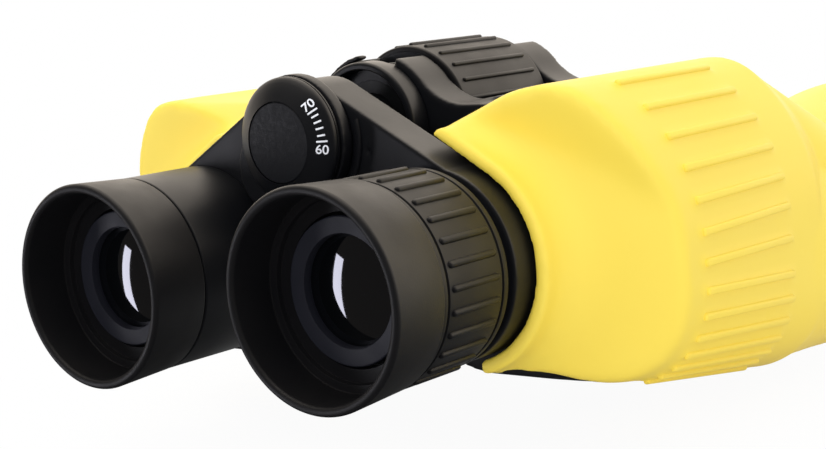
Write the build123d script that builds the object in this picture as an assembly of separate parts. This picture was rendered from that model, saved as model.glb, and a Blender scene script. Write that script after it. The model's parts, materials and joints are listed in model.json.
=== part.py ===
"""Porro-prism binoculars with a centre hinge, centre focusing and a rubber-armoured body.

X points to the user's right, Y along the line of sight away from the eyes, and Z up. The drawing datum has
the eyecup rims at y = 0 and the eyepiece axes at z = 0. Every piece is moved to the resting datum when it
is written: the middle of the length, and the lowest point of the objective bells.
"""
import math
import os

from build123d import *

# Optical layout
EYE_SPACING = 57.0  # between the eyepiece axes, as the hinge is set
HINGE_REACH = 37.0  # hinge axis to eyepiece axis
OBJECTIVE_X = 50.0  # objective axis from the middle plane
OBJECTIVE_Z = -8.0  # objective axis below the eyepiece axis
LENGTH = 172.0  # eyecup rim to front rim

# Fits between round pieces, measured on the radius
RUN_FIT = 0.08  # pieces that turn or slide on each other
SEAT_FIT = 0.04  # pieces that are fixed in each other
FACE_GAP = 0.3  # between the end faces of pieces that move past each other

# Eyecup and the lens end that it surrounds
EYECUP_LIP_R = 19.5
EYECUP_BASE_R = 18.8
EYECUP_BORE_R = 17.7
EYECUP_LENGTH = 12.8
EYECUP_FLOOR = 2.4  # thickness of the floor
EYECUP_HOLE_R = 13.5
LIP_ROUND = 0.85

# Ocular barrel and its lenses
BARREL_R = 14.5
BARREL_END = 50.0
NOSE_R = 13.0
NOSE_BORE_R = 12.4
NOSE_START = 10.6
FLANGE_R = 17.6
FLANGE_LENGTH = 1.8
LENS_STOP_R = 11.0
LENS_STOP_LENGTH = 3.0
EYE_RING_R = 10.5  # clear opening of the bevelled ring round the eye lens
EYE_RING_LIP = 1.0
EYE_RING_PLUG = 2.0
EYE_LENS_EDGE = 2.6
EYE_LENS_SAG = 1.3
FIELD_LENS_EDGE = 2.2
FIELD_LENS_SAG = 1.8
FIELD_RING_LENGTH = 2.0
FIELD_RING_R = 10.6

# Dioptre ring on the right and the fixed sleeve on the left
GRIP_RING_R = 18.25
GRIP_RIB_R = 18.85
GRIP_RIB_COUNT = 28
GRIP_RIB_WIDTH = 1.3
GRIP_RIB_START = 15.4
GRIP_RIB_END = 28.2
DIOPTRE_END = 31.0
SLEEVE_R = 18.75

# Eyepiece arms
ARM_FRONT = 42.0
RIGHT_ARM_REAR = 33.0
LEAF_REAR = 30.0  # rear face of the left arm's thin leaf
LEAF_LAP = 0.7  # the leaf's hold on the thick plate of the left arm
LEAF_REACH = 8.6
LEAF_ROOT_R = 9.0
ARM_HUB_R = 11.0
ARM_TOP_R = 17.4  # from the eyepiece axis to the straight top of the right arm
ARM_ROOM_R = 13.0  # left free round the hub by the lip and by the left arm
LEFT_HUB_R = 11.6
ARM_LEAF_R = 12.3
ARM_EYE_R = 18.1
ARM_TUBE_R = 16.3
ARM_TUBE_END = 55.0
SPIGOT_START = 17.6
INDEX_R = 0.6
INDEX_REACH = 15.6
INDEX_ANGLE = -10.0

# Distance scale on the hinge
SCALE_R = 12.0
SCALE_FACE = 25.5
SCALE_RIM_FACE = 28.1
SCALE_CAP_R = 7.6
SCALE_CAP_DEPTH = 1.0
BRIDGE_SCREW_R = 1.5
BRIDGE_HEAD_R = 3.0
BRIDGE_HEAD = 1.4
BRIDGE_SCREW_LENGTH = 12.0

# Focus spindle, screw and wheel
SPINDLE_R = 6.5
SPINDLE_END = 61.0
SPINDLE_COLLAR_R = 10.0
SPINDLE_COLLAR = 1.2
FOCUS_SCREW_R = 4.0
FOCUS_SCREW_START = 46.4
FOCUS_SCREW_END = 94.6
SPINDLE_BORE_START = 44.2
WHEEL_START = 63.7
WHEEL_GAP = 0.5  # to the front knuckles
WHEEL_END = 91.4
WHEEL_CORE_R = 13.8
WHEEL_DISH = 3.0
WHEEL_DISH_R = 10.5
GRIP_R = 14.95
WHEEL_RIB_R = 15.5
WHEEL_RIB_COUNT = 24
WHEEL_RIB_WIDTH = 0.9
WHEEL_RIB_MARGIN = 2.0

# Hinge
HINGE_TUBE_R = 9.0
HINGE_CAP_R = 12.9
HINGE_CAP_START = 49.4
HINGE_CAP_RECESS_R = 11.4
HINGE_CAP_RECESS = 3.2
HINGE_CAP_CHAMFER = 0.8
HINGE_PIN_R = 7.0
HINGE_PIN_FLANGE_R = 9.5
HINGE_PIN_FRONT = 109.5
TRIPOD_R = 2.6
TRIPOD_DEPTH = 8.0
PIN_SOCKET = 3.8
KNUCKLE_R = 14.2
KNUCKLE_CORE_R = 12.0
KNUCKLE_REAR = 54.3
KNUCKLE_WIDTH = 4.35
KNUCKLE_TOP_ANGLE = 67.0
CAP_SHELL_REAR = 51.5  # where the left half begins as a shell over the hinge cap
CAP_SHELL_TOP_ANGLE = 85.0
KNUCKLE_LOW_ANGLE = -70.0
WEB_TOP_Z = 27.2
WEB_FILLET = 14.0
WEB_LOW_Z = 13.0

# Prism case, as the armour shows it from the rear
CASE_SIDE_X = 70.3
CASE_UPPER_R = 36.8
CASE_UPPER_Z = -0.2
CASE_CORNER_R = 13.3
CASE_TOP_BLEND = 50.0
CASE_LOWER_R = 18.9
CASE_FLOOR_Z = -23.3
CASE_FLOOR_SLOPE = 0.17
CASE_INNER_R = 20.0
CASE_INNER_Z = 2.0
CASE_WAIST_X = 17.0
CASE_WAIST_Z = 14.0
CASE_SHOULDER_Z = 27.0
RIDGE_Y = 49.0
CASE_DATUM = 30.0
COVER_SPLIT = 60.0
FRONT_SPLIT = 99.0
CASE_FRONT = 101.0
CASE_WALL = 2.0
GUIDE_R = 18.2
GUIDE_START = 44.5
COVER_REAR = 48.0

# Rubber armour
ARMOUR = 2.2
LIP_Y = 37.6
LIP_GAP = 0.6  # round the arm that the lip surrounds
LIP_WIDTH = 2.6
DISH = ((0.3, 40.5), (2.1, 43.6), (5.7, 45.6), (11.0, 47.0), (16.8, 48.7), (24.7, 50.4))  # from the lip, and y
DISH_END_SLOPE = 0.2
PARTING_TOP = (26.7, 24.1)
PARTING_LOW = (33.5, -19.6)
PARTING_FOOT = (49.0, -23.1)
FOOT_REAR = 42.0  # where the bare foot of the rear cover begins, in front of the lip
TRIM_REAR = 41.5  # where the cut across the top of the rear face begins, in front of the lip
TRIM_SLOPE_X = 0.4
TRIM_SLOPE_Y = 0.2
LIP_TRIM_SLOPE = 0.15
DISH_TILT_Y = 52.0  # the plane that bounds the dish at the top
DISH_TILT = 0.32
RIB_COUNT = 14
RIB_START = 55.8
RIB_END = 87.7
RIB_WIDTH = 1.5
RIB_HEIGHT = 0.7
RIB_PITCH = 7.05
RIB_PITCH_LOSS = 0.16
RIB_LEAD = 8.4
RIB_FAN = 0.5  # how far the ribs spread as the case grows towards the front

# Objective barrel
SHOULDER_BREAK = 110.0
SHOULDER_DROP = 3.6  # fall of the shoulder's rounded edge
SHOULDER_END = 127.0
BELL_NECK_R = 24.0
BELL_R = 29.0
BELL_CONE_END = 149.0
BELL_CONE_R = 28.0
BELL_ROUND_START = 160.0
BELL_RIM = 2.0
BELL_RIM_IN_R = 25.4
TUBE_WALL = 1.6
LENS_BORE_START = 148.0
LENS_BORE_R = 25.2
COVER_SPIGOT_END = 133.0
LIGHT_R = 18.0
CELL_STOP = 1.5
CELL_STOP_R = 23.2
CELL_END = 160.0
OBJECTIVE_R = 24.0
FLINT_EDGE = 6.0
CROWN_EDGE = 1.8
CEMENT_SAG = 3.2
CROWN_SAG = 3.0
LOCK_RING_R = 23.3

# Prisms and the shelf between them
SHELF_REAR = 76.0
SHELF = 3.0
PRISM_WIDTH = 16.0
ROOF_ANGLE = 45.0
WINDOW_R = 7.4
CLIP = 0.6
CLIP_WIDTH = 6.0

# Screws of the rear cover
BOSS_R = 2.4
BOSS_LENGTH = 8.0  # depth of the screw hole
SCREW_R = 1.0
SCREW_HEAD_R = 1.9
SCREW_HEAD = 1.1
SCREW_SEAT = 57.2
SCREW_LENGTH = 7.0
SCREW_PLACES = ((28.6, 21.8), (40.5, -17.5), (52.85, 11.66))

# Smaller sizes of the ocular, the scale and the grips
EYE_LENS_SEAT = 0.1  # play of a lens along its bore
LENS_LAND = 2.0  # flat rim of an ocular lens
CLIP_FLAT = 2.0
SCALE_FLOOR = 0.7
SCALE_GROOVE = 0.6
GRIP_EDGE = 0.6
ARM_LOW_EYE_ANGLE = 200.0
ARM_LOW_HUB_ANGLE = -72.0
LIGHT_NARROW_R = 10.5
COVER_LIFT = 2.6
WEB_END_X = 26.0

# Sizes that follow from those above
EYE_X = EYE_SPACING / 2
HINGE_Z = math.sqrt(HINGE_REACH**2 - EYE_X**2)
ARM_ANGLE = math.degrees(math.atan2(-HINGE_Z, EYE_X))
ARM_TOP_ANGLE = ARM_ANGLE + math.degrees(math.acos((ARM_ROOM_R - ARM_EYE_R) / HINGE_REACH))
EYE_AXIS = (EYE_X, 0.0)
HINGE_AXIS = (0.0, HINGE_Z)
OBJECTIVE_AXIS = (OBJECTIVE_X, OBJECTIVE_Z)
SPIGOT_BORE_R = BARREL_R + RUN_FIT
FLANGE_END = EYECUP_LENGTH + FLANGE_LENGTH
KNUCKLE_FRONT = WHEEL_END + WHEEL_GAP
SHELF_FRONT = SHELF_REAR + SHELF
LEAF_FRONT = RIGHT_ARM_REAR - FACE_GAP
LEFT_ARM_REAR = LEAF_FRONT - LEAF_LAP
LIP_IN_R = ARM_EYE_R + LIP_GAP
LIP_OUT_R = LIP_IN_R + LIP_WIDTH
KNUCKLE_LENGTH = 2 * KNUCKLE_WIDTH + FACE_GAP
HALF_TURN = math.sqrt(0.5)
PRISM_STEP = math.hypot(OBJECTIVE_X - EYE_X, OBJECTIVE_Z) / math.sqrt(2)
PRISM_WAY = math.degrees(math.atan2(-OBJECTIVE_Z, EYE_X - OBJECTIVE_X)) - ROOF_ANGLE
REST = Pos(0, -LENGTH / 2, BELL_R - OBJECTIVE_Z)


def across(y):
    """The plane square to the line of sight at y, drawn in x and z."""
    return Plane.XZ.offset(-y)


def polar(centre, radius, angle):
    """The point at an angle, in degrees, on a circle drawn in x and z."""
    turn = math.radians(angle)
    return (centre[0] + radius * math.cos(turn), centre[1] + radius * math.sin(turn))


def disc(centre, radius, start, end):
    """A round bar along Y."""
    return extrude(across(start) * Pos(*centre) * Circle(radius), amount=start - end)


def ring(centre, outer, inner, start, end):
    """A plain tube along Y."""
    profile = Circle(outer) - Circle(inner)
    return extrude(across(start) * Pos(*centre) * profile, amount=start - end)


def turned(centre, *lines):
    """A solid turned about an axis along Y from its half profile in radius and y."""
    axis = Axis((centre[0], 0, centre[1]), (0, 1, 0))
    profile = Plane((centre[0], 0, centre[1])) * make_face(Curve() + list(lines))
    return revolve(profile, axis=axis)


def turned_points(centre, *points):
    """A solid turned about an axis along Y from a half profile of straight lines."""
    return turned(centre, *Polyline(*points, close=True).edges())


def flat(start, end, *points):
    """A prism along Y over a polygon drawn in x and z."""
    return extrude(across(start) * make_face(Polyline(*points, close=True)), amount=start - end)


def cap_arc(radius, edge, sag):
    """The profile line of a spherical lens face, from its vertex on the axis to its edge."""
    if not sag:
        return Line((0, edge), (radius, edge))
    sphere = (radius**2 + sag**2) / (2 * abs(sag))
    half = radius / 2
    middle = edge + math.copysign(math.sqrt(sphere**2 - half**2) - (sphere - abs(sag)), sag)
    return ThreePointArc((0, edge + sag), (half, middle), (radius, edge))


def lens(centre, radius, rear, front, rear_sag, front_sag, land=0.0):
    """A lens whose edge runs from rear to front; a positive sag bulges out of that face inside the land."""
    clear = radius - land
    back = cap_arc(clear, rear, -rear_sag)
    face = cap_arc(clear, front, front_sag)
    rim = Line((radius, rear), (radius, front))
    middle = Line((0, front + front_sag), (0, rear - rear_sag))
    if not land:
        return turned(centre, back, rim, face, middle)
    rear_land = Line((clear, rear), (radius, rear))
    front_land = Line((clear, front), (radius, front))
    return turned(centre, back, rear_land, rim, front_land, face, middle)


def belt(first, first_r, second, second_r, start, end):
    """A plate along Y over the outline of a belt round two pulleys."""
    dx = second[0] - first[0]
    dz = second[1] - first[1]
    lean = math.degrees(math.acos((first_r - second_r) / math.hypot(dx, dz)))
    way = math.degrees(math.atan2(dz, dx))
    corners = [
        polar(first, first_r, way + lean),
        polar(second, second_r, way + lean),
        polar(second, second_r, way - lean),
        polar(first, first_r, way - lean),
    ]
    plate = flat(start, end, *corners)
    return plate + disc(first, first_r, start, end) + disc(second, second_r, start, end)


MIDDLE_AXIS = polar(OBJECTIVE_AXIS, PRISM_STEP, PRISM_WAY)


# Prism case


def tangent_point(point, centre, radius):
    """Where the line from a point touches a circle, on its upper side."""
    dx = centre[0] - point[0]
    dz = centre[1] - point[1]
    way = math.degrees(math.atan2(dz, dx))
    lean = math.degrees(math.acos(radius / math.hypot(dx, dz)))
    return polar(centre, radius, way + 180 - lean)


def case_outline(y):
    """The edges of the case section at y, clockwise from its inner top corner."""
    floor = CASE_FLOOR_Z - (y - RIDGE_Y) * CASE_FLOOR_SLOPE
    upper = (CASE_SIDE_X - CASE_UPPER_R, CASE_UPPER_Z)
    corner = polar(upper, CASE_UPPER_R - CASE_CORNER_R, CASE_TOP_BLEND)
    lower = (CASE_SIDE_X - CASE_LOWER_R, floor + CASE_LOWER_R)
    inner = (EYE_X, floor + CASE_INNER_R)
    inner_x = EYE_X - CASE_INNER_R
    shoulder = (CASE_WAIST_X, CASE_SHOULDER_Z)
    touch = tangent_point(shoulder, corner, CASE_CORNER_R)
    touch_angle = math.degrees(math.atan2(touch[1] - corner[1], touch[0] - corner[0]))
    crown = polar(corner, CASE_CORNER_R, (touch_angle + CASE_TOP_BLEND) / 2)
    blend = polar(upper, CASE_UPPER_R, CASE_TOP_BLEND)
    return [
        Line(shoulder, touch),
        ThreePointArc(touch, crown, blend),
        ThreePointArc(blend, polar(upper, CASE_UPPER_R, CASE_TOP_BLEND / 2), (CASE_SIDE_X, CASE_UPPER_Z)),
        Line((CASE_SIDE_X, CASE_UPPER_Z), (CASE_SIDE_X, lower[1])),
        ThreePointArc((CASE_SIDE_X, lower[1]), polar(lower, CASE_LOWER_R, -45), (lower[0], floor)),
        Line((lower[0], floor), (EYE_X, floor)),
        ThreePointArc((EYE_X, floor), polar(inner, CASE_INNER_R, -135), (inner_x, inner[1])),
        Line((inner_x, inner[1]), (inner_x, CASE_INNER_Z)),
        Line((inner_x, CASE_INNER_Z), (CASE_WAIST_X, CASE_WAIST_Z)),
        Line((CASE_WAIST_X, CASE_WAIST_Z), shoulder),
    ]


def case_section(y, inset):
    """The case section at y, drawn in by an inset."""
    face = make_face(Curve() + case_outline(y))
    if inset:
        face = offset(face, amount=-inset, kind=Kind.INTERSECTION)
    return across(y) * face


def case_block(start, end, inset=0.0):
    """The stretch of the case between two places on Y."""
    return loft([case_section(start, inset), case_section(end, inset)], ruled=True)


def half_space(corner, normal):
    """Everything on one side of a plane through a corner."""
    return Plane(corner, z_dir=normal) * Pos(0, 0, LENGTH / 2) * Box(2 * LENGTH, 2 * LENGTH, LENGTH)


def dish_profile(lift):
    """The half profile, in radius and y, of everything in front of the dished rear face."""
    far_y = CASE_FRONT + LENGTH
    points = [(LIP_OUT_R + step, y + lift) for step, y in DISH]
    first = (LIP_OUT_R, LIP_Y + lift)
    curve = Spline(first, *points, tangents=((0.1, 1), (1, DISH_END_SLOPE)))
    foot = (0, first[1])
    last = points[-1]
    return [
        Line(foot, first),
        curve,
        Line(last, (last[0], far_y)),
        Line((last[0], far_y), (0, far_y)),
        Line((0, far_y), foot),
    ]


def dished(lift):
    """The dish turned about the eyepiece, drawn out along the top edge of the arm, and bounded at the top."""
    turn = turned(EYE_AXIS, *dish_profile(lift))
    outward = polar((0, 0), 1, ARM_TOP_ANGLE)
    plane = Plane((EYE_X, 0, 0), x_dir=(outward[0], 0, outward[1]), z_dir=(-outward[1], 0, outward[0]))
    profile = plane * make_face(Curve() + dish_profile(lift))
    drawn = extrude(profile, amount=HINGE_REACH, dir=(-outward[1], 0, outward[0]))
    return turn + drawn + half_space((0, DISH_TILT_Y + lift, 0), (0, 1, DISH_TILT))


def eyepiece_slot(start, end):
    """The room that the eyepiece and its arm need."""
    hub_r = LIP_GAP + ARM_ROOM_R
    return belt(EYE_AXIS, LIP_IN_R, HINGE_AXIS, hub_r, start, end)


def beyond(first, second):
    """A far point on the line from one point through another."""
    dx = second[0] - first[0]
    dz = second[1] - first[1]
    reach = LENGTH / math.hypot(dx, dz)
    return (second[0] + dx * reach, second[1] + dz * reach)


def parting_side(start, end):
    """The space that the armour leaves bare: past its parting line, and under the foot of the rear cover."""
    top = beyond(PARTING_LOW, PARTING_TOP)
    low = beyond(PARTING_TOP, PARTING_LOW)
    space = flat(start, end, top, low, (low[0] - LENGTH, low[1]), (top[0] - LENGTH, top[1]))
    if start < COVER_SPLIT:
        foot = beyond(PARTING_LOW, PARTING_FOOT)
        rear = max(start, FOOT_REAR)
        space += flat(rear, min(end, COVER_SPLIT), PARTING_LOW, foot, (foot[0], low[1]), low)
    return space


def trim_space(depth):
    """The space above the sloping cut across the top of the rear face, or above a cut deeper by a depth."""
    corner = (PARTING_TOP[0], TRIM_REAR, PARTING_TOP[1] - depth)
    above = half_space(corner, (-TRIM_SLOPE_X, -TRIM_SLOPE_Y, 1)) & disc(EYE_AXIS, 2 * LENGTH, TRIM_REAR, LENGTH)
    return above + (half_space(corner, (-LIP_TRIM_SLOPE, 0, 1)) & disc(EYE_AXIS, 2 * LENGTH, 0, TRIM_REAR))


def shoulder_ring(y, radius, section_y):
    """A circle about the objective axis, split where the case section has its corners."""
    corners = [edge @ 0 for edge in case_outline(section_y)]
    angles = [math.degrees(math.atan2(c.Y - OBJECTIVE_Z, c.X - OBJECTIVE_X)) for c in corners]
    arcs = []
    for number, angle in enumerate(angles):
        sweep = (angles[(number + 1) % len(angles)] - angle + 180) % 360 - 180
        ends = [polar(OBJECTIVE_AXIS, radius, angle + share * sweep) for share in (0, 0.5, 1)]
        arcs.append(ThreePointArc(*ends))
    return across(y) * make_face(Curve() + arcs)


def shoulder_block(radius, inset=0.0):
    """The body between the case section and the round objective barrel, with its turned-down edge."""
    edge = case_section(SHOULDER_BREAK, inset + SHOULDER_DROP)
    neck = shoulder_ring(SHOULDER_END, radius, SHOULDER_BREAK)
    return loft([case_section(CASE_FRONT, inset), edge, neck], ruled=True)


def bell_line(inset, end):
    """The outer half profile of the objective bell, drawn in by an inset, from its neck to an end."""
    slope = (BELL_CONE_R - BELL_NECK_R) / (BELL_CONE_END - SHOULDER_END)
    neck = (BELL_NECK_R - inset, SHOULDER_END)
    cone_end = (BELL_CONE_R - inset, BELL_CONE_END)
    straight = (BELL_R - inset, BELL_ROUND_START)
    return [
        Line(neck, cone_end),
        TangentArc(cone_end, straight, tangent=(slope, 1)),
        Line(straight, (BELL_R - inset, end)),
    ]


def make_bell():
    """The rubber round the objective tube, with a rim folded over its front end."""
    rim_start = LENGTH - BELL_RIM
    neck_r = BELL_NECK_R - ARMOUR
    rim = Polyline(
        (BELL_R, LENGTH),
        (BELL_RIM_IN_R, LENGTH),
        (BELL_RIM_IN_R, rim_start),
        (BELL_R - ARMOUR, rim_start),
    )
    foot = Line((neck_r, SHOULDER_END), (BELL_NECK_R, SHOULDER_END))
    return turned(OBJECTIVE_AXIS, *bell_line(0, LENGTH), *rim.edges(), *bell_line(ARMOUR, rim_start), foot)


def along_outline(edges, run):
    """The number of the edge that a length from the top parting line ends on, and the share of it."""
    index = 1
    while run > edges[index].length:
        run -= edges[index].length
        index += 1
    return index, run / edges[index].length


def armour_ribs():
    """The raised ribs along the outer wall of the case, which follow its lines."""
    rear_edges = case_outline(RIB_START)
    front_edges = case_outline(RIB_END)
    bars = []
    for number in range(RIB_COUNT):
        run = RIB_LEAD + RIB_PITCH * number - RIB_PITCH_LOSS * number**2
        index, share = along_outline(rear_edges, run)
        fanned = sum(edge.length for edge in front_edges[1:index]) + share * front_edges[index].length
        front_index, front_share = along_outline(front_edges, run + RIB_FAN * (fanned - run))
        foot = rear_edges[index].position_at(share)
        head = front_edges[front_index].position_at(front_share)
        along = Vector(head.X - foot.X, RIB_END - RIB_START, head.Y - foot.Y)
        tangent = rear_edges[index].tangent_at(share)
        plane = Plane((foot.X, RIB_START, foot.Y), x_dir=(tangent.X, 0, tangent.Y), z_dir=along)
        profile = plane * Ellipse(RIB_WIDTH / 2, RIB_HEIGHT)
        bars.append(extrude(profile, amount=along.length))
    return bars


def make_armour():
    """The rubber skin: dished rear face with its lip, ribbed side and objective bell."""
    skin = case_block(CASE_DATUM, CASE_FRONT) & dished(0)
    skin += shoulder_block(BELL_NECK_R)
    for bar in armour_ribs():
        skin += bar
    skin -= case_block(CASE_DATUM, CASE_FRONT, ARMOUR) & casting_rear()
    skin -= eyepiece_slot(CASE_DATUM, COVER_REAR)
    skin -= parting_side(0, SHOULDER_END)
    skin -= trim_space(0)
    skin -= shoulder_block(BELL_NECK_R - ARMOUR, ARMOUR)
    return skin + make_bell()


def casting_rear():
    """Everything in front of the rear face of the metal case, under the armour."""
    return dished(COVER_LIFT) & disc(EYE_AXIS, 2 * LENGTH, COVER_REAR, LENGTH)


def casting(start, end):
    """The metal of the case between two places: under the armour, and flush with it past the parting line."""
    return case_block(start, end, ARMOUR) + (case_block(start, end) & parting_side(start, end))


def make_rear_cover():
    """The ocular end of the case, with the guide that the eyepiece slides in."""
    cover = (casting(CASE_DATUM, COVER_SPLIT) & casting_rear()) - trim_space(ARMOUR)
    cover += disc(EYE_AXIS, GUIDE_R, GUIDE_START, COVER_SPLIT)
    cover -= disc(EYE_AXIS, ARM_TUBE_R + RUN_FIT, GUIDE_START, COVER_SPLIT)
    for place in SCREW_PLACES:
        cover -= disc(place, SCREW_R + SEAT_FIT, GUIDE_START, COVER_SPLIT)
        cover -= disc(place, SCREW_HEAD_R + SEAT_FIT, GUIDE_START, SCREW_SEAT)
    return cover


def make_cover_screws():
    """The screws that hold the rear cover to the case."""
    screws = []
    for place in SCREW_PLACES:
        head = disc(place, SCREW_HEAD_R, SCREW_SEAT - SCREW_HEAD, SCREW_SEAT)
        screws.append(head + disc(place, SCREW_R, SCREW_SEAT, SCREW_SEAT + SCREW_LENGTH))
    return Compound(children=screws)


def knuckle_reach(top_angle):
    """The section of a half's knuckles: a sector over the hinge axis up to an angle, with the web."""
    sector = make_face(
        Curve()
        + [
            Line(HINGE_AXIS, polar(HINGE_AXIS, KNUCKLE_R, KNUCKLE_LOW_ANGLE)),
            ThreePointArc(
                polar(HINGE_AXIS, KNUCKLE_R, KNUCKLE_LOW_ANGLE),
                polar(HINGE_AXIS, KNUCKLE_R, 0),
                polar(HINGE_AXIS, KNUCKLE_R, top_angle),
            ),
            Line(polar(HINGE_AXIS, KNUCKLE_R, top_angle), HINGE_AXIS),
        ]
    )
    return sector + web_face()


def cap_shell():
    """The start of the left rear knuckle: a shell over the hinge cap, clear of the right knuckle in front of it."""
    room = Pos(*HINGE_AXIS) * Circle(HINGE_CAP_R + FACE_GAP)
    rear = across(CAP_SHELL_REAR)
    high = rear * (knuckle_reach(CAP_SHELL_TOP_ANGLE) - room)
    root = rear * (knuckle_reach(KNUCKLE_TOP_ANGLE) - room)
    shell = extrude(high, amount=CAP_SHELL_REAR + FACE_GAP - KNUCKLE_REAR)
    return shell + extrude(root, amount=CAP_SHELL_REAR - KNUCKLE_REAR)


def knuckle(start, first, bore):
    """One half of a hinge knuckle: a ring in its own slot and a shell over its neighbour's ring."""
    slots = [(start, start + KNUCKLE_WIDTH), (start + KNUCKLE_WIDTH + FACE_GAP, start + KNUCKLE_LENGTH)]
    own = slots[0] if first else slots[1]
    reach = knuckle_reach(KNUCKLE_TOP_ANGLE)
    shell = reach - Pos(*HINGE_AXIS) * Circle(KNUCKLE_CORE_R + FACE_GAP)
    body = extrude(across(start) * shell, amount=-KNUCKLE_LENGTH)
    core = reach + Pos(*HINGE_AXIS) * Circle(KNUCKLE_CORE_R)
    body += extrude(across(own[0]) * core, amount=-KNUCKLE_WIDTH)
    return body - disc(HINGE_AXIS, bore, start, start + KNUCKLE_LENGTH)


def web_face():
    """The swept web between a knuckle and the case, drawn in x and z."""
    rise = WEB_TOP_Z + WEB_FILLET - HINGE_Z
    hollow_x = math.sqrt((KNUCKLE_R + WEB_FILLET) ** 2 - rise**2)
    hollow = (hollow_x, WEB_TOP_Z + WEB_FILLET)
    leave = math.degrees(math.atan2(rise, hollow_x))
    touch = polar(HINGE_AXIS, KNUCKLE_R, leave)
    middle = polar(hollow, WEB_FILLET, (leave + 180 + 270) / 2)
    wall_x = CASE_WAIST_X + ARMOUR + CASE_WALL / 2
    return make_face(
        Curve()
        + [
            ThreePointArc(touch, middle, (hollow_x, WEB_TOP_Z)),
            Polyline(
                (hollow_x, WEB_TOP_Z),
                (WEB_END_X, WEB_TOP_Z),
                (WEB_END_X, WEB_TOP_Z - ARMOUR),
                (wall_x, WEB_TOP_Z - ARMOUR - CASE_WALL),
                (wall_x, WEB_LOW_Z),
                HINGE_AXIS,
                touch,
            ),
        ]
    )


def make_housing(first, fit, rear_cover, front_cover):
    """The prism case with its shelf, screw bosses and hinge knuckles."""
    case = casting(COVER_SPLIT, FRONT_SPLIT) & casting_rear()
    case -= case_block(COVER_SPLIT, FRONT_SPLIT, ARMOUR + CASE_WALL)
    shelf = case_block(SHELF_REAR, SHELF_FRONT, ARMOUR + CASE_WALL / 2)
    for axis in (EYE_AXIS, MIDDLE_AXIS, OBJECTIVE_AXIS):
        shelf -= disc(axis, WINDOW_R, SHELF_REAR, SHELF_FRONT)
    case += shelf
    for place in SCREW_PLACES:
        case += disc(place, BOSS_R, COVER_SPLIT, SHELF_REAR)
        case -= disc(place, SCREW_R + SEAT_FIT, COVER_SPLIT, COVER_SPLIT + BOSS_LENGTH)
    knuckles = knuckle(KNUCKLE_REAR, first, HINGE_TUBE_R + fit)
    knuckles += knuckle(KNUCKLE_FRONT, first, HINGE_PIN_R + fit)
    if not first:
        knuckles += cap_shell()
    case += knuckles - case_block(COVER_SPLIT, FRONT_SPLIT, ARMOUR + CASE_WALL)
    return case - rear_cover - front_cover - disc(EYE_AXIS, GUIDE_R, GUIDE_START, COVER_SPLIT)


def make_front_cover():
    """The shoulder that carries the objective tube."""
    cover = casting(FRONT_SPLIT, CASE_FRONT)
    cover += shoulder_block(BELL_NECK_R - ARMOUR, ARMOUR)
    cover += shoulder_block(BELL_NECK_R) & parting_side(CASE_FRONT, SHOULDER_END)
    cover += disc(OBJECTIVE_AXIS, tube_inner(SHOULDER_END) - SEAT_FIT, SHOULDER_END, COVER_SPIGOT_END)
    passage = (
        (0, FRONT_SPLIT),
        (LIGHT_NARROW_R, FRONT_SPLIT),
        (LIGHT_R, SHOULDER_END),
        (LIGHT_R, COVER_SPIGOT_END),
        (0, COVER_SPIGOT_END),
    )
    return cover - turned_points(OBJECTIVE_AXIS, *passage)


def tube_inner(y):
    """The inner radius of the objective tube's cone."""
    slope = (BELL_CONE_R - BELL_NECK_R) / (BELL_CONE_END - SHOULDER_END)
    return BELL_NECK_R + (y - SHOULDER_END) * slope - ARMOUR - SEAT_FIT - TUBE_WALL


# Objectives


def make_objective_tube():
    """The flared tube under the bell of the armour, bored for the lens cell."""
    end = LENGTH - BELL_RIM
    outer = ARMOUR + SEAT_FIT
    inside = Polyline(
        (BELL_R - outer, end),
        (LENS_BORE_R, end),
        (LENS_BORE_R, LENS_BORE_START),
        (tube_inner(LENS_BORE_START), LENS_BORE_START),
        (tube_inner(SHOULDER_END), SHOULDER_END),
        (BELL_NECK_R - outer, SHOULDER_END),
    )
    return turned(OBJECTIVE_AXIS, *bell_line(outer, end), *inside.edges())


def make_objective():
    """The lens cell, the cemented pair in it and the ring that locks them."""
    flint_rear = LENS_BORE_START + CELL_STOP
    flint_front = flint_rear + FLINT_EDGE
    crown_rear = flint_front + SEAT_FIT
    crown_front = crown_rear + CROWN_EDGE
    cell_r = LENS_BORE_R - SEAT_FIT
    seat_r = OBJECTIVE_R + SEAT_FIT
    cell = turned_points(
        OBJECTIVE_AXIS,
        (CELL_STOP_R, LENS_BORE_START),
        (cell_r, LENS_BORE_START),
        (cell_r, CELL_END),
        (seat_r, CELL_END),
        (seat_r, flint_rear),
        (CELL_STOP_R, flint_rear),
    )
    lock_start = crown_front + FACE_GAP
    lock = ring(OBJECTIVE_AXIS, OBJECTIVE_R, LOCK_RING_R, lock_start, CELL_END)
    return {
        "objective_cell": cell,
        "objective_flint": lens(OBJECTIVE_AXIS, OBJECTIVE_R, flint_rear, flint_front, 0, -CEMENT_SAG),
        "objective_crown": lens(OBJECTIVE_AXIS, OBJECTIVE_R, crown_rear, crown_front, CEMENT_SAG, CROWN_SAG),
        "objective_lock_ring": lock,
    }


# Prisms


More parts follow.
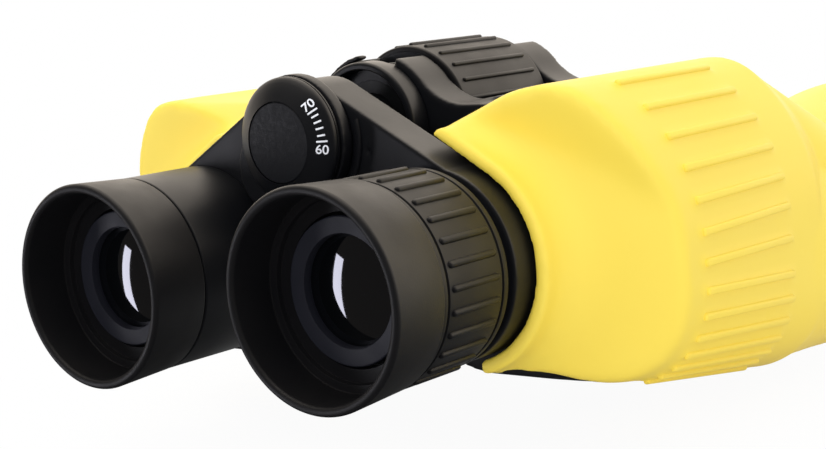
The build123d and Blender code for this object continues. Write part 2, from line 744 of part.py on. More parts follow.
def make_prism(first_axis, second_axis, base, way):
    """A right-angle prism that joins two optical axes, and the spring clip over its roof."""
    centre = ((first_axis[0] + second_axis[0]) / 2, (first_axis[1] + second_axis[1]) / 2)
    run = (second_axis[0] - first_axis[0], second_axis[1] - first_axis[1])
    plane = Plane((centre[0], base, centre[1]), x_dir=(run[0], 0, run[1]), z_dir=(-run[1], 0, run[0]))
    tip = PRISM_STEP * way * plane.y_dir.Y
    body = Polyline((-PRISM_STEP, 0), (PRISM_STEP, 0), (0, tip), close=True)
    glass = extrude(plane * make_face(body), amount=PRISM_WIDTH / 2, both=True)
    roof = math.copysign(CLIP_FLAT, tip)
    outside = PRISM_WIDTH / 2 + CLIP + SEAT_FIT
    inside = PRISM_WIDTH / 2 + SEAT_FIT
    glass -= plane * Pos(0, tip - roof / 2, 0) * Box(PRISM_STEP, CLIP_FLAT, PRISM_WIDTH)
    height = abs(tip) - CLIP_FLAT + SEAT_FIT
    middle = math.copysign((height + CLIP) / 2, tip)
    clip = plane * Pos(0, middle, 0) * Box(CLIP_WIDTH, height + CLIP, 2 * outside)
    clip -= plane * Pos(0, math.copysign(height / 2, tip), 0) * Box(CLIP_WIDTH, height, 2 * inside)
    return glass, clip


# Eyepieces


def make_eyecup():
    """The rubber eyecup, with a rounded lip and a floor that sits on the ocular flange."""
    floor = EYECUP_LENGTH - EYECUP_FLOOR
    lip = EYECUP_LIP_R - LIP_ROUND
    inner = EYECUP_BORE_R + LIP_ROUND
    return turned(
        EYE_AXIS,
        Line((EYECUP_HOLE_R, EYECUP_LENGTH), (EYECUP_BASE_R, EYECUP_LENGTH)),
        Line((EYECUP_BASE_R, EYECUP_LENGTH), (EYECUP_LIP_R, LIP_ROUND)),
        ThreePointArc(
            (EYECUP_LIP_R, LIP_ROUND), (lip + LIP_ROUND * HALF_TURN, LIP_ROUND * (1 - HALF_TURN)), (lip, 0)
        ),
        Line((lip, 0), (inner, 0)),
        ThreePointArc(
            (inner, 0),
            (inner - LIP_ROUND * HALF_TURN, LIP_ROUND * (1 - HALF_TURN)),
            (EYECUP_BORE_R, LIP_ROUND),
        ),
        Line((EYECUP_BORE_R, LIP_ROUND), (EYECUP_BORE_R, floor)),
        Line((EYECUP_BORE_R, floor), (EYECUP_HOLE_R, floor)),
        Line((EYECUP_HOLE_R, floor), (EYECUP_HOLE_R, EYECUP_LENGTH)),
    )


def make_ocular():
    """The ocular barrel with its lenses and their rings."""
    plug_end = NOSE_START + EYE_RING_PLUG
    lens_rear = plug_end + EYE_LENS_SEAT
    lens_front = lens_rear + EYE_LENS_EDGE
    stop_end = lens_front + LENS_STOP_LENGTH
    field_rear = BARREL_END - FIELD_RING_LENGTH - FIELD_LENS_EDGE - EYE_LENS_SEAT
    field_front = field_rear + FIELD_LENS_EDGE
    barrel = turned_points(
        EYE_AXIS,
        (NOSE_R, NOSE_START),
        (NOSE_R, EYECUP_LENGTH),
        (FLANGE_R, EYECUP_LENGTH),
        (FLANGE_R, FLANGE_END),
        (BARREL_R, FLANGE_END),
        (BARREL_R, BARREL_END),
        (NOSE_BORE_R, BARREL_END),
        (NOSE_BORE_R, field_rear),
        (LENS_STOP_R, field_rear),
        (LENS_STOP_R, field_rear - LENS_STOP_LENGTH),
        (NOSE_BORE_R, field_rear - LENS_STOP_LENGTH),
        (NOSE_BORE_R, stop_end),
        (LENS_STOP_R, stop_end),
        (LENS_STOP_R, lens_front),
        (NOSE_BORE_R, lens_front),
        (NOSE_BORE_R, NOSE_START),
    )
    plug_r = NOSE_BORE_R - SEAT_FIT
    eye_ring = turned_points(
        EYE_AXIS,
        (EYE_RING_R, NOSE_START - EYE_RING_LIP * HALF_TURN),
        (NOSE_R - EYE_RING_LIP, NOSE_START - EYE_RING_LIP),
        (NOSE_R, NOSE_START - EYE_RING_LIP),
        (NOSE_R, NOSE_START),
        (plug_r, NOSE_START),
        (plug_r, plug_end),
        (EYE_RING_R, plug_end),
    )
    eye_lens = lens(EYE_AXIS, plug_r, lens_rear, lens_front, EYE_LENS_SAG, FIELD_LENS_SAG, LENS_LAND)
    return {
        "ocular_barrel": barrel,
        "eye_lens_ring": eye_ring,
        "eye_lens": eye_lens,
        "field_lens": lens(EYE_AXIS, plug_r, field_rear, field_front, FIELD_LENS_SAG, 0, LENS_LAND),
        "field_lens_ring": ring(EYE_AXIS, plug_r, FIELD_RING_R, field_front + EYE_LENS_SEAT, BARREL_END),
    }


def collar(outer, fit, end):
    """A ring behind the eyecup, relieved for the ocular flange."""
    start = EYECUP_LENGTH + FACE_GAP
    relief = FLANGE_END + FACE_GAP
    return turned_points(
        EYE_AXIS,
        (FLANGE_R + FACE_GAP, start),
        (outer, start),
        (outer, end),
        (ARM_TUBE_R + fit, end),
        (ARM_TUBE_R + fit, relief),
        (FLANGE_R + FACE_GAP, relief),
    )


def ribs_round(centre, count, radius, tip_r, width, start, end):
    """Rounded ribs along Y, spread evenly round a drum."""
    bars = []
    for number in range(count):
        angle = 360 * number / count
        place = polar(centre, tip_r - width / 2, angle)
        bar = disc(place, width / 2, start, end)
        root = flat(
            start,
            end,
            polar(place, width / 2, angle + 90),
            polar(place, width / 2, angle - 90),
            polar(polar(centre, radius - width / 2, angle), width / 2, angle - 90),
            polar(polar(centre, radius - width / 2, angle), width / 2, angle + 90),
        )
        bars.append(bar + root)
    return bars


def make_dioptre_ring():
    """The ribbed ring that screws along the right eyepiece."""
    body = collar(GRIP_RING_R, RUN_FIT, DIOPTRE_END)
    bars = ribs_round(
        EYE_AXIS, GRIP_RIB_COUNT, GRIP_RING_R, GRIP_RIB_R, GRIP_RIB_WIDTH, GRIP_RIB_START, GRIP_RIB_END
    )
    for bar in bars:
        body += bar
    return body


def arm_plate(hub_r, top_r, rear):
    """The plate of an eyepiece arm, straight along its top and cut back below the hub."""
    top = ARM_ANGLE + math.degrees(math.acos((hub_r - top_r) / HINGE_REACH))
    outline = (
        polar(HINGE_AXIS, hub_r, top),
        polar(EYE_AXIS, top_r, top),
        EYE_AXIS,
        polar(EYE_AXIS, ARM_EYE_R, ARM_LOW_EYE_ANGLE),
        polar(HINGE_AXIS, hub_r, ARM_LOW_HUB_ANGLE),
        HINGE_AXIS,
    )
    plate = flat(rear, ARM_FRONT, *outline)
    plate += disc(HINGE_AXIS, hub_r, rear, ARM_FRONT)
    plate += disc(EYE_AXIS, ARM_EYE_R, rear, ARM_FRONT)
    plate += disc(EYE_AXIS, ARM_TUBE_R, SPIGOT_START, ARM_TUBE_END)
    return plate - disc(EYE_AXIS, SPIGOT_BORE_R, SPIGOT_START, ARM_TUBE_END)


def make_right_arm():
    """The right arm, which turns on the focus spindle."""
    arm = arm_plate(ARM_HUB_R, ARM_TOP_R, RIGHT_ARM_REAR)
    arm -= disc(HINGE_AXIS, SPINDLE_R + RUN_FIT, RIGHT_ARM_REAR, ARM_FRONT)
    mark = polar(HINGE_AXIS, INDEX_REACH, INDEX_ANGLE)
    return arm - disc(mark, INDEX_R, RIGHT_ARM_REAR, RIGHT_ARM_REAR + INDEX_R)


def make_left_arm():
    """The left arm, drawn on the right: its thin leaf lies behind the right arm's hub."""
    arm = arm_plate(LEFT_HUB_R, ARM_EYE_R, LEFT_ARM_REAR)
    arm -= disc(HINGE_AXIS, ARM_ROOM_R + 2 * FACE_GAP, LEFT_ARM_REAR, ARM_FRONT)
    root = polar(HINGE_AXIS, LEAF_REACH, ARM_ANGLE)
    arm += belt(HINGE_AXIS, ARM_LEAF_R, root, LEAF_ROOT_R, LEAF_REAR, LEAF_FRONT)
    return arm - disc(HINGE_AXIS, SPINDLE_R + SEAT_FIT, LEAF_REAR, LEAF_FRONT)


# Pieces on the hinge axis


def make_scale():
    """The dished disc of the distance scale, its inlay and the screw under the inlay."""
    seat = SCALE_FACE + SCALE_CAP_DEPTH
    head_end = seat + BRIDGE_HEAD
    spindle_start = head_end + SCALE_FLOOR
    rim_end = LEAF_REAR - SCALE_GROOVE
    shank = BRIDGE_SCREW_R + SEAT_FIT
    head = BRIDGE_HEAD_R + SEAT_FIT
    inlay = SCALE_CAP_R + SEAT_FIT
    spindle = SPINDLE_R + SEAT_FIT
    body = turned_points(
        HINGE_AXIS,
        (shank, head_end),
        (head, head_end),
        (head, seat),
        (inlay, seat),
        (inlay, SCALE_FACE),
        (SCALE_R, SCALE_RIM_FACE),
        (SCALE_R, rim_end),
        (SCALE_R - SCALE_GROOVE, LEAF_REAR),
        (spindle, LEAF_REAR),
        (spindle, spindle_start),
        (shank, spindle_start),
    )
    screw = disc(HINGE_AXIS, BRIDGE_HEAD_R, seat, head_end)
    screw += disc(HINGE_AXIS, BRIDGE_SCREW_R, head_end, head_end + BRIDGE_SCREW_LENGTH)
    hole_end = head_end + BRIDGE_SCREW_LENGTH + FACE_GAP
    collar_start = ARM_FRONT + FACE_GAP
    collar_end = collar_start + SPINDLE_COLLAR
    bore = FOCUS_SCREW_R + RUN_FIT
    spindle_body = turned_points(
        HINGE_AXIS,
        (shank, spindle_start),
        (SPINDLE_R, spindle_start),
        (SPINDLE_R, collar_start),
        (SPINDLE_COLLAR_R, collar_start),
        (SPINDLE_COLLAR_R, collar_end),
        (SPINDLE_R, collar_end),
        (SPINDLE_R, SPINDLE_END),
        (bore, SPINDLE_END),
        (bore, SPINDLE_BORE_START),
        (0, SPINDLE_BORE_START),
        (0, hole_end),
        (shank, hole_end),
    )
    return {
        "scale_disc": body,
        "scale_inlay": disc(HINGE_AXIS, SCALE_CAP_R, SCALE_FACE, seat),
        "bridge_screw": screw,
        "focus_spindle": spindle_body,
    }


def make_wheel():
    """The focus wheel, its ribbed grip and the screw that it turns."""
    bore = FOCUS_SCREW_R + SEAT_FIT
    core = turned_points(
        HINGE_AXIS,
        (bore, WHEEL_START + WHEEL_DISH),
        (WHEEL_DISH_R, WHEEL_START + WHEEL_DISH),
        (WHEEL_DISH_R, WHEEL_START),
        (WHEEL_CORE_R, WHEEL_START),
        (WHEEL_CORE_R, WHEEL_END),
        (WHEEL_DISH_R, WHEEL_END),
        (WHEEL_DISH_R, WHEEL_END - WHEEL_DISH),
        (bore, WHEEL_END - WHEEL_DISH),
    )
    grip = turned_points(
        HINGE_AXIS,
        (WHEEL_CORE_R + SEAT_FIT, WHEEL_START),
        (GRIP_R - GRIP_EDGE, WHEEL_START),
        (GRIP_R, WHEEL_START + GRIP_EDGE),
        (GRIP_R, WHEEL_END - GRIP_EDGE),
        (GRIP_R - GRIP_EDGE, WHEEL_END),
        (WHEEL_CORE_R + SEAT_FIT, WHEEL_END),
    )
    bars = ribs_round(
        HINGE_AXIS,
        WHEEL_RIB_COUNT,
        GRIP_R,
        WHEEL_RIB_R,
        WHEEL_RIB_WIDTH,
        WHEEL_START + WHEEL_RIB_MARGIN,
        WHEEL_END - WHEEL_RIB_MARGIN,
    )
    for bar in bars:
        grip += bar
    return {
        "focus_wheel": core,
        "focus_grip": grip,
        "focus_screw": disc(HINGE_AXIS, FOCUS_SCREW_R, FOCUS_SCREW_START, FOCUS_SCREW_END),
    }


def make_hinge():
    """The tube through the rear knuckles with its cap, and the pin through the front ones."""
    cap_end = KNUCKLE_REAR - FACE_GAP
    recess = HINGE_CAP_START + HINGE_CAP_RECESS
    bore = HINGE_TUBE_R + SEAT_FIT
    cap = turned_points(
        HINGE_AXIS,
        (bore, recess),
        (HINGE_CAP_RECESS_R, recess),
        (HINGE_CAP_RECESS_R, HINGE_CAP_START),
        (HINGE_CAP_R - HINGE_CAP_CHAMFER, HINGE_CAP_START),
        (HINGE_CAP_R, HINGE_CAP_START + HINGE_CAP_CHAMFER),
        (HINGE_CAP_R, cap_end),
        (bore, cap_end),
    )
    tube = ring(HINGE_AXIS, HINGE_TUBE_R, SPINDLE_R + RUN_FIT, recess, KNUCKLE_REAR + KNUCKLE_LENGTH)
    pin_start = KNUCKLE_FRONT
    flange = KNUCKLE_FRONT + KNUCKLE_LENGTH + FACE_GAP
    socket = FOCUS_SCREW_R + RUN_FIT
    pin = turned_points(
        HINGE_AXIS,
        (socket, pin_start),
        (HINGE_PIN_R, pin_start),
        (HINGE_PIN_R, flange),
        (HINGE_PIN_FLANGE_R, flange),
        (HINGE_PIN_FLANGE_R, HINGE_PIN_FRONT - HINGE_CAP_CHAMFER),
        (HINGE_PIN_FLANGE_R - HINGE_CAP_CHAMFER, HINGE_PIN_FRONT),
        (TRIPOD_R, HINGE_PIN_FRONT),
        (TRIPOD_R, HINGE_PIN_FRONT - TRIPOD_DEPTH),
        (0, HINGE_PIN_FRONT - TRIPOD_DEPTH),
        (0, pin_start + PIN_SOCKET),
        (socket, pin_start + PIN_SOCKET),
    )
    return {"hinge_cap": cap, "hinge_tube": tube, "hinge_pin": pin}


# Whole assembly


def side_pieces():
    """The pieces that the right half and the left half share, drawn on the right."""
    rear_prism, rear_clip = make_prism(OBJECTIVE_AXIS, MIDDLE_AXIS, SHELF_REAR, -1)
    front_prism, front_clip = make_prism(MIDDLE_AXIS, EYE_AXIS, SHELF_FRONT, 1)
    pieces = {
        "armour": make_armour(),
        "rear_cover": make_rear_cover(),
        "cover_screws": make_cover_screws(),
        "front_cover": make_front_cover(),
        "prism_rear": rear_prism,
        "prism_front": front_prism,
        "prism_clips": Compound(children=[rear_clip, front_clip]),
        "objective_tube": make_objective_tube(),
        "eyecup": make_eyecup(),
    }
    pieces.update(make_objective())
    pieces.update(make_ocular())
    return pieces


def assembly():
    """Every piece of the binoculars by name, at the drawing datum."""
    pieces = {}
    shared = side_pieces()
    for name, shape in shared.items():
        pieces["right_" + name] = shape
        pieces["left_" + name] = mirror(shape, about=Plane.YZ)
    covers = (shared["rear_cover"], shared["front_cover"])
    pieces["right_housing"] = make_housing(True, RUN_FIT, *covers)
    pieces["left_housing"] = mirror(make_housing(False, SEAT_FIT, *covers), about=Plane.YZ)
    pieces["right_arm"] = make_right_arm()
    pieces["left_arm"] = mirror(make_left_arm(), about=Plane.YZ)
    pieces["dioptre_ring"] = make_dioptre_ring()
    pieces["left_sleeve"] = mirror(collar(SLEEVE_R, SEAT_FIT, LEFT_ARM_REAR), about=Plane.YZ)
    pieces.update(make_scale())
    pieces.update(make_wheel())
    pieces.update(make_hinge())
    return pieces


os.makedirs("parts", exist_ok=True)
for node, shape in assembly().items():
    export_step(REST * shape, f"parts/{node}.step")
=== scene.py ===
"""Looks of the binoculars: moulded rubber, painted castings, a printed scale and coated lenses.

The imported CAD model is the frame. Sizes are in millimetres at the drawing datum, which has the
eyecup rims at y = 0 and the eyepiece axes at z = 0, and become metres when a mesh is made.
"""
import json
import logging
import math
from contextlib import contextmanager
from dataclasses import dataclass, field
from enum import Enum
from functools import cache
from typing import Any, Iterable, Iterator, Sequence

import bpy
from mathutils import Matrix, Vector


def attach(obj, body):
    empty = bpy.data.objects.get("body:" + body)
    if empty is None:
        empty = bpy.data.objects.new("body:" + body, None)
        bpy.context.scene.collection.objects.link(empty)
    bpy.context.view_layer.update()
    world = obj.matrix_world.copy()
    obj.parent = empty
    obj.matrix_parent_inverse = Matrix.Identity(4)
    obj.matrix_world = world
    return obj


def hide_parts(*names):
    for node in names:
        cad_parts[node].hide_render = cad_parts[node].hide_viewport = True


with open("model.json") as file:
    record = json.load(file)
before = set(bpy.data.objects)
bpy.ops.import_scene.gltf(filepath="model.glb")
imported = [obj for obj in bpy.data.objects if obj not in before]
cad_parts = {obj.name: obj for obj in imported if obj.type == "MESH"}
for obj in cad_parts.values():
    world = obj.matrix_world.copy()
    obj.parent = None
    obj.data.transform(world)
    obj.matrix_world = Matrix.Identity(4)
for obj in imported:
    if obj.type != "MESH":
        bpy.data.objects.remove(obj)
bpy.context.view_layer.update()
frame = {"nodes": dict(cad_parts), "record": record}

LOG = logging.getLogger("binoculars")
MM = 0.001
# Points nearer than these are one point, on turned pieces and along the seams of the CAD meshes.
TURN_WELD = 0.001 * MM
SEAM_WELD = 0.002 * MM
# Segments of a turned piece.
TURN_STEPS = 128
# A rounding takes up at most this share of the edges beside it.
CORNER_SHARE = 0.49
# Height of the bars that ribs are made of, most of which is sunk in their drum.
RIB_STOCK = 1.6
# From the drawing datum to the frame's origin, in millimetres.
DATUM = Vector((0.0, -86.0, 37.0))

Piece = bpy.types.Object
Material = bpy.types.Material
Tree = bpy.types.NodeTree
Socket = bpy.types.NodeSocket
Point = tuple[float, float]
Corner = tuple[float, float, float]


class Body(Enum):
    """The moving bodies of the frame."""

    LEFT_BARREL = "left_barrel"
    RIGHT_BARREL = "right_barrel"
    WHEEL = "focus_wheel"
    LEFT_EYEPIECE = "left_eyepiece"
    RIGHT_EYEPIECE = "right_eyepiece"
    RIGHT_OCULAR = "right_ocular"
    DIOPTRE = "dioptre_ring"


class Side(Enum):
    """The two halves, by the sign of x."""

    LEFT = -1
    RIGHT = 1

    @property
    def word(self) -> str:
        """The half's name as the CAD nodes spell it."""
        return self.name.lower()

    @property
    def barrel(self) -> Body:
        """The body of the half's case."""
        return Body(self.word + "_barrel")

    @property
    def arm(self) -> Body:
        """The body of the half's eyepiece arm."""
        return Body(self.word + "_eyepiece")

    @property
    def optics(self) -> Body:
        """The body that carries the half's eye lens and eyecup."""
        return Body.RIGHT_OCULAR if self is Side.RIGHT else self.arm


def place(x: float, y: float, z: float) -> Vector:
    """Turns a point at the drawing datum into the frame.

    Args:
        x: millimetres to the user's right.
        y: millimetres along the line of sight from the eyecup rims.
        z: millimetres above the eyepiece axes.

    Returns:
        The point in metres.
    """
    return (Vector((x, y, z)) + DATUM) * MM


def linear(colour: str) -> tuple[float, float, float, float]:
    """Turns an sRGB hex colour into linear RGBA.

    Args:
        colour: six hex digits, with or without a leading #.

    Returns:
        Linear red, green, blue and an alpha of 1.
    """
    digits = colour.lstrip("#")
    parts = [int(digits[i : i + 2], 16) / 255 for i in (0, 2, 4)]
    red, green, blue = (c / 12.92 if c <= 0.04045 else ((c + 0.055) / 1.055) ** 2.4 for c in parts)
    return (red, green, blue, 1.0)


def add_node(tree: Tree, kind: str, inputs: dict[Any, Any], **settings: Any) -> bpy.types.Node:
    """Adds a shader node, sets it and links it.

    Args:
        tree: the node tree.
        kind: the node's type name after ShaderNode.
        inputs: a value or an output socket for each input, by name or number.
        settings: the node's own properties.

    Returns:
        The new node.
    """
    node = tree.nodes.new("ShaderNode" + kind)
    for key, value in settings.items():
        setattr(node, key, value)
    for key, value in inputs.items():
        if isinstance(value, Socket):
            tree.links.new(value, node.inputs[key])
        else:
            node.inputs[key].default_value = value
    return node


def blank_material(name: str) -> Material:
    """A new material with an empty node tree."""
    made = bpy.data.materials.new(name)
    made.use_nodes = True
    made.node_tree.nodes.clear()
    return made


def mix_colour(node: bpy.types.Node) -> Socket:
    """The colour output of a Mix node, which also has other outputs of the same name."""
    return [out for out in node.outputs if out.type == "RGBA"][0]


# Finishes


@dataclass(frozen=True)
class Moulding:
    """A moulded or painted surface: a colour that drifts, with a fine grain in bump and gloss.

    The grain of the real surface is a tenth of a millimetre or less; it is drawn coarser so that
    it shows.
    """

    name: str
    colour: str
    drift: str
    roughness: float
    gloss_spread: float
    specular: float
    drift_mm: float
    grain_mm: float
    grain_depth_mm: float
    metallic: float = 0.0

    def material(self) -> Material:
        """Returns the node material of this finish."""
        made = blank_material(self.name)
        tree = made.node_tree
        spot = add_node(tree, "TexCoord", {}).outputs["Object"]
        noises = []
        for size, detail in ((self.drift_mm, 3.0), (self.grain_mm, 2.0)):
            inputs = {"Vector": spot, "Scale": 1 / (size * MM), "Detail": detail}
            noises.append(add_node(tree, "TexNoise", inputs).outputs["Fac"])
        patches, grain = noises
        inputs = {"Factor": patches, "A": linear(self.colour), "B": linear(self.drift)}
        tint = add_node(tree, "Mix", inputs, data_type="RGBA")
        inputs = {
            "Value": patches,
            "From Min": 0.3,
            "From Max": 0.7,
            "To Min": self.roughness - self.gloss_spread,
            "To Max": self.roughness + self.gloss_spread,
        }
        gloss = add_node(tree, "MapRange", inputs)
        inputs = {"Height": grain, "Strength": 1.0, "Distance": self.grain_depth_mm * MM}
        bump = add_node(tree, "Bump", inputs)
        inputs = {
            "Base Color": mix_colour(tint),
            "Roughness": gloss.outputs["Result"],
            "Metallic": self.metallic,
            "Specular IOR Level": self.specular,
            "Normal": bump.outputs["Normal"],
        }
        shader = add_node(tree, "BsdfPrincipled", inputs)
        add_node(tree, "OutputMaterial", {"Surface": shader.outputs["BSDF"]})
        return made


@dataclass(frozen=True)
class CoatedGlass:
    """A lens over a dark tube: nearly black, with a tinted coating and a thin haze."""

    name: str
    colour: str
    coating: str
    ior: float = 2.2
    roughness: float = 0.02
    dusty: float = 3.0
    dust_mm: float = 3.0

    def material(self) -> Material:
        """Returns the node material of this finish."""
        made = blank_material(self.name)
        tree = made.node_tree
        spot = add_node(tree, "TexCoord", {}).outputs["Object"]
        inputs = {"Vector": spot, "Scale": 1 / (self.dust_mm * MM), "Detail": 4.0}
        dust = add_node(tree, "TexNoise", inputs).outputs["Fac"]
        clean, dusty = self.roughness, self.roughness * self.dusty
        haze = add_node(tree, "MapRange", {"Value": dust, "To Min": clean, "To Max": dusty})
        inputs = {
            "Base Color": linear(self.colour),
            "Roughness": haze.outputs["Result"],
            "IOR": self.ior,
            "Specular Tint": linear(self.coating),
        }
        shader = add_node(tree, "BsdfPrincipled", inputs)
        add_node(tree, "OutputMaterial", {"Surface": shader.outputs["BSDF"]})
        return made


# Each finish gives its colours, then roughness and its spread, specular level, and the sizes of the
# drift, the grain and the grain's depth in millimetres.
# Yellow thermoplastic rubber, moulded with a fine spark grain: satin, and it drifts slightly where
# it is handled.
ARMOUR_RUBBER = Moulding(
    "moulded_yellow_rubber", "#FCDF50", "#FEE45A", 0.5, 0.05, 0.4, 30.0, 0.3, 0.010
)
# Black nitrile rubber of the eyecups and grips: matt, faintly brownish where light grazes it.
GRIP_RUBBER = Moulding(
    "moulded_black_rubber", "#0D0D0F", "#121112", 0.5, 0.06, 0.45, 9.0, 0.32, 0.012
)
# Die-cast aluminium under black wrinkle-free paint: a low orange peel and a broad soft highlight.
PAINTED_CASTING = Moulding(
    "painted_black_casting", "#0C0D10", "#101114", 0.44, 0.05, 0.45, 14.0, 0.45, 0.008
)
# Black ABS of the dial and the sleeve: smooth mould with a trace of grain.
BLACK_ABS = Moulding("moulded_black_abs", "#0C0D10", "#111215", 0.42, 0.05, 0.42, 11.0, 0.3, 0.006)
# Grained ABS of the dial's inlay: spark-eroded mould, so a visible sandy grain.
GRAINED_ABS = Moulding("grained_black_abs", "#0E0F12", "#15161A", 0.5, 0.08, 0.45, 0.9, 0.3, 0.03)
# Black anodised aluminium of the lens tubes: dull dark metal with fine turning variation.
ANODISED = Moulding(
    "black_anodised_aluminium", "#0C0D0E", "#131415", 0.46, 0.08, 0.4, 6.0, 0.5, 0.006
)
# Black acetal of the lens bezels: satin. Its colour is partly its own and partly painted light:
# lightened and tinted bluish grey for the camera-side light that the recessed cup keeps off it.
BEZEL_PAINTED_LIGHT = Moulding("satin_black_bezel", "#191A21", "#1D1E26", 0.55, 0.06, 0.45, 6.0, 0.4, 0.006)
# White pad-printing ink of the scale: chalky, and nearly even.
SCALE_INK = Moulding("white_printing_ink", "#F1F2F2", "#E6E8EA", 0.55, 0.05, 0.4, 1.5, 0.2, 0.003)
# Bright turned steel of the screws and the pin: grey, with a tight highlight.
STEEL = Moulding("turned_steel", "#8E8F92", "#7C7D80", 0.32, 0.08, 0.5, 2.0, 0.25, 0.004, 1.0)
# Turned brass of the focus screw: warm, with a tight highlight.
BRASS = Moulding("turned_brass", "#B58D4A", "#A57E3E", 0.3, 0.07, 0.5, 2.0, 0.25, 0.004, 1.0)
# Polished prism glass inside the case, which does not show from outside.
PRISM_GLASS = Moulding("polished_prism_glass", "#2A3130", "#333B3A", 0.08, 0.02, 0.5, 8.0, 1.0, 0.0)


# Modelling tools


def deselect() -> None:
    """Leaves edit mode and deselects everything."""
    if bpy.context.mode != "OBJECT":
        bpy.ops.object.mode_set(mode="OBJECT")
    bpy.ops.object.select_all(action="DESELECT")


def pick(piece: Piece) -> None:
    """Makes a piece the only selected and the active object."""
    deselect()
    piece.select_set(True)
    bpy.context.view_layer.objects.active = piece


@contextmanager
def editing(piece: Piece) -> Iterator[None]:
    """Opens a piece in edit mode with all of it selected, and closes it again."""
    pick(piece)
    bpy.ops.object.mode_set(mode="EDIT")
    bpy.ops.mesh.select_all(action="SELECT")
    yield
    bpy.ops.object.mode_set(mode="OBJECT")


def weld() -> None:
    """Merges double points of the mesh being edited and turns its faces outward."""
    bpy.ops.mesh.select_all(action="SELECT")
    bpy.ops.mesh.remove_doubles(threshold=TURN_WELD)
    bpy.ops.mesh.normals_make_consistent(inside=False)


def spin(steps: int, centre: Vector, **settings: bool) -> None:
    """Spins the selected mesh a full turn about an axis along y."""
    full = 2 * math.pi
    bpy.ops.mesh.spin(steps=steps, angle=full, center=centre, axis=(0, 1, 0), **settings)


def linked(name: str, data: bpy.types.ID) -> Piece:
    """A new object of a mesh, camera or light, in the scene."""
    made = bpy.data.objects.new(name, data)
    bpy.context.scene.collection.objects.link(made)
    return made


def seated(x: Vector, y: Vector, z: Vector, spot: Vector) -> Matrix:
    """The place of a piece, by the directions of its axes and its middle in metres."""
    matrix = Matrix((x, y, z)).transposed().to_4x4()
    matrix.translation = spot
    return matrix


def settle(piece: Piece) -> None:
    """Moves a piece's place into its mesh and leaves its object at the origin."""
    bpy.context.view_layer.update()
    piece.data.transform(piece.matrix_world)
    piece.matrix_world = Matrix.Identity(4)
    piece.data.update()


def use_modifier(piece: Piece, kind: str, **settings: Any) -> None:
    """Adds a modifier to a piece and applies it.

    Args:
        piece: the object.
        kind: the modifier's type name.
        settings: the modifier's properties.
    """
    pick(piece)
    modifier = piece.modifiers.new(kind.lower(), kind)
    for key, value in settings.items():
        setattr(modifier, key, value)
    bpy.ops.object.modifier_apply(modifier=modifier.name)


def shade(piece: Piece, angle: float) -> None:
    """Shades a piece smooth, with edges sharper than an angle in degrees kept sharp."""
    pick(piece)
    bpy.ops.object.shade_smooth_by_angle(angle=math.radians(angle))


def rounded(corners: Sequence[Corner], steps: int = 5) -> list[Point]:
    """Rounds the corners of a closed profile.

    Args:
        corners: radius, y and corner rounding of each corner, in millimetres.
        steps: segments of each rounding.

    Returns:
        The points of the profile, without a repeat of the first.
    """
    points: list[Point] = []
    count = len(corners)
    for number, (r, y, fillet) in enumerate(corners):
        corner = Vector((r, y))
        if fillet <= 0:
            points.append((r, y))
            continue
        before = Vector(corners[number - 1][:2]) - corner
        after = Vector(corners[(number + 1) % count][:2]) - corner
        half = before.angle(after) / 2
        cut = min(
            fillet / math.tan(half), before.length * CORNER_SHARE, after.length * CORNER_SHARE
        )
        size = cut * math.tan(half)
        inward = (before.normalized() + after.normalized()).normalized()
        middle = corner + inward * (size / math.sin(half))
        first = corner + before.normalized() * cut - middle
        last = corner + after.normalized() * cut - middle
        for step in range(steps + 1):
            share = step / steps
            spoke = first.lerp(last, share)
            points.append(tuple(middle + spoke.normalized() * size))
    return points


def turned(name: str, axis: Point, profile: Sequence[Point]) -> Piece:
    """Turns a closed half profile about an axis along y.

    Args:
        name: the piece's name.
        axis: x and z of the axis.
        profile: radius and y of each point, in millimetres.

    Returns:
        The turned piece.
    """
    deselect()
    path = [place(axis[0] + r, y, axis[1]) for r, y in profile]
    bpy.ops.mesh.primitive_plane_add(size=MM, location=path[0])
    piece = bpy.context.object
    piece.name = name
    settle(piece)
    with editing(piece):
        bpy.ops.mesh.merge(type="CENTER")
        for here, there in zip(path, path[1:] + path[:1]):
            bpy.ops.mesh.extrude_vertices_move(TRANSFORM_OT_translate={"value": there - here})
        weld()
        bpy.ops.mesh.select_all(action="SELECT")
        spin(TURN_STEPS, place(axis[0], 0, axis[1]), use_auto_merge=True)
        weld()
    shade(piece, 50)
    return piece


def bar(name: str, width: float, length: float, height: float, rounding: float) -> Piece:
    """A bar along y with all its edges rounded, centred on the origin.

    Args:
        name: the piece's name.
        width: size in x, in millimetres.
        length: size in y, in millimetres.
        height: size in z, in millimetres.
        rounding: radius of its edges, in millimetres.

    Returns:
        The bar.
    """
    deselect()
    bpy.ops.mesh.primitive_cube_add(size=MM, location=(0, 0, 0))
    piece = bpy.context.object
    piece.name = name
    with editing(piece):
        bpy.ops.transform.resize(value=(width, length, height))
        bpy.ops.mesh.bevel(offset=rounding * MM, segments=3, profile=0.5, affect="EDGES")
    shade(piece, 60)
    return piece


def copy_of(piece: Piece, name: str, matrix: Matrix) -> Piece:
    """Copies a piece with a mesh of its own and moves that mesh.

    Args:
        piece: the piece to copy.
        name: the copy's name.
        matrix: where the copy goes.

    Returns:
        The copy.
    """
    made = linked(name, piece.data.copy())
    made.data.transform(matrix)
    return made


def discard(piece: Piece) -> None:
    """Removes a pattern piece once its copies are made."""
    mesh = piece.data
    bpy.data.objects.remove(piece)
    bpy.data.meshes.remove(mesh)


def casting_copy(name: str, node: str) -> Piece:
    """A copy of a CAD node's mesh with its seams merged.

    Args:
        name: the copy's name.
        node: the CAD node.

    Returns:
        The copy, still with sharp edges.
    """
    mesh = frame["nodes"][node].data.copy()
    mesh.materials.clear()
    piece = linked(name, mesh)
    with editing(piece):
        bpy.ops.mesh.remove_doubles(threshold=SEAM_WELD)
    return piece


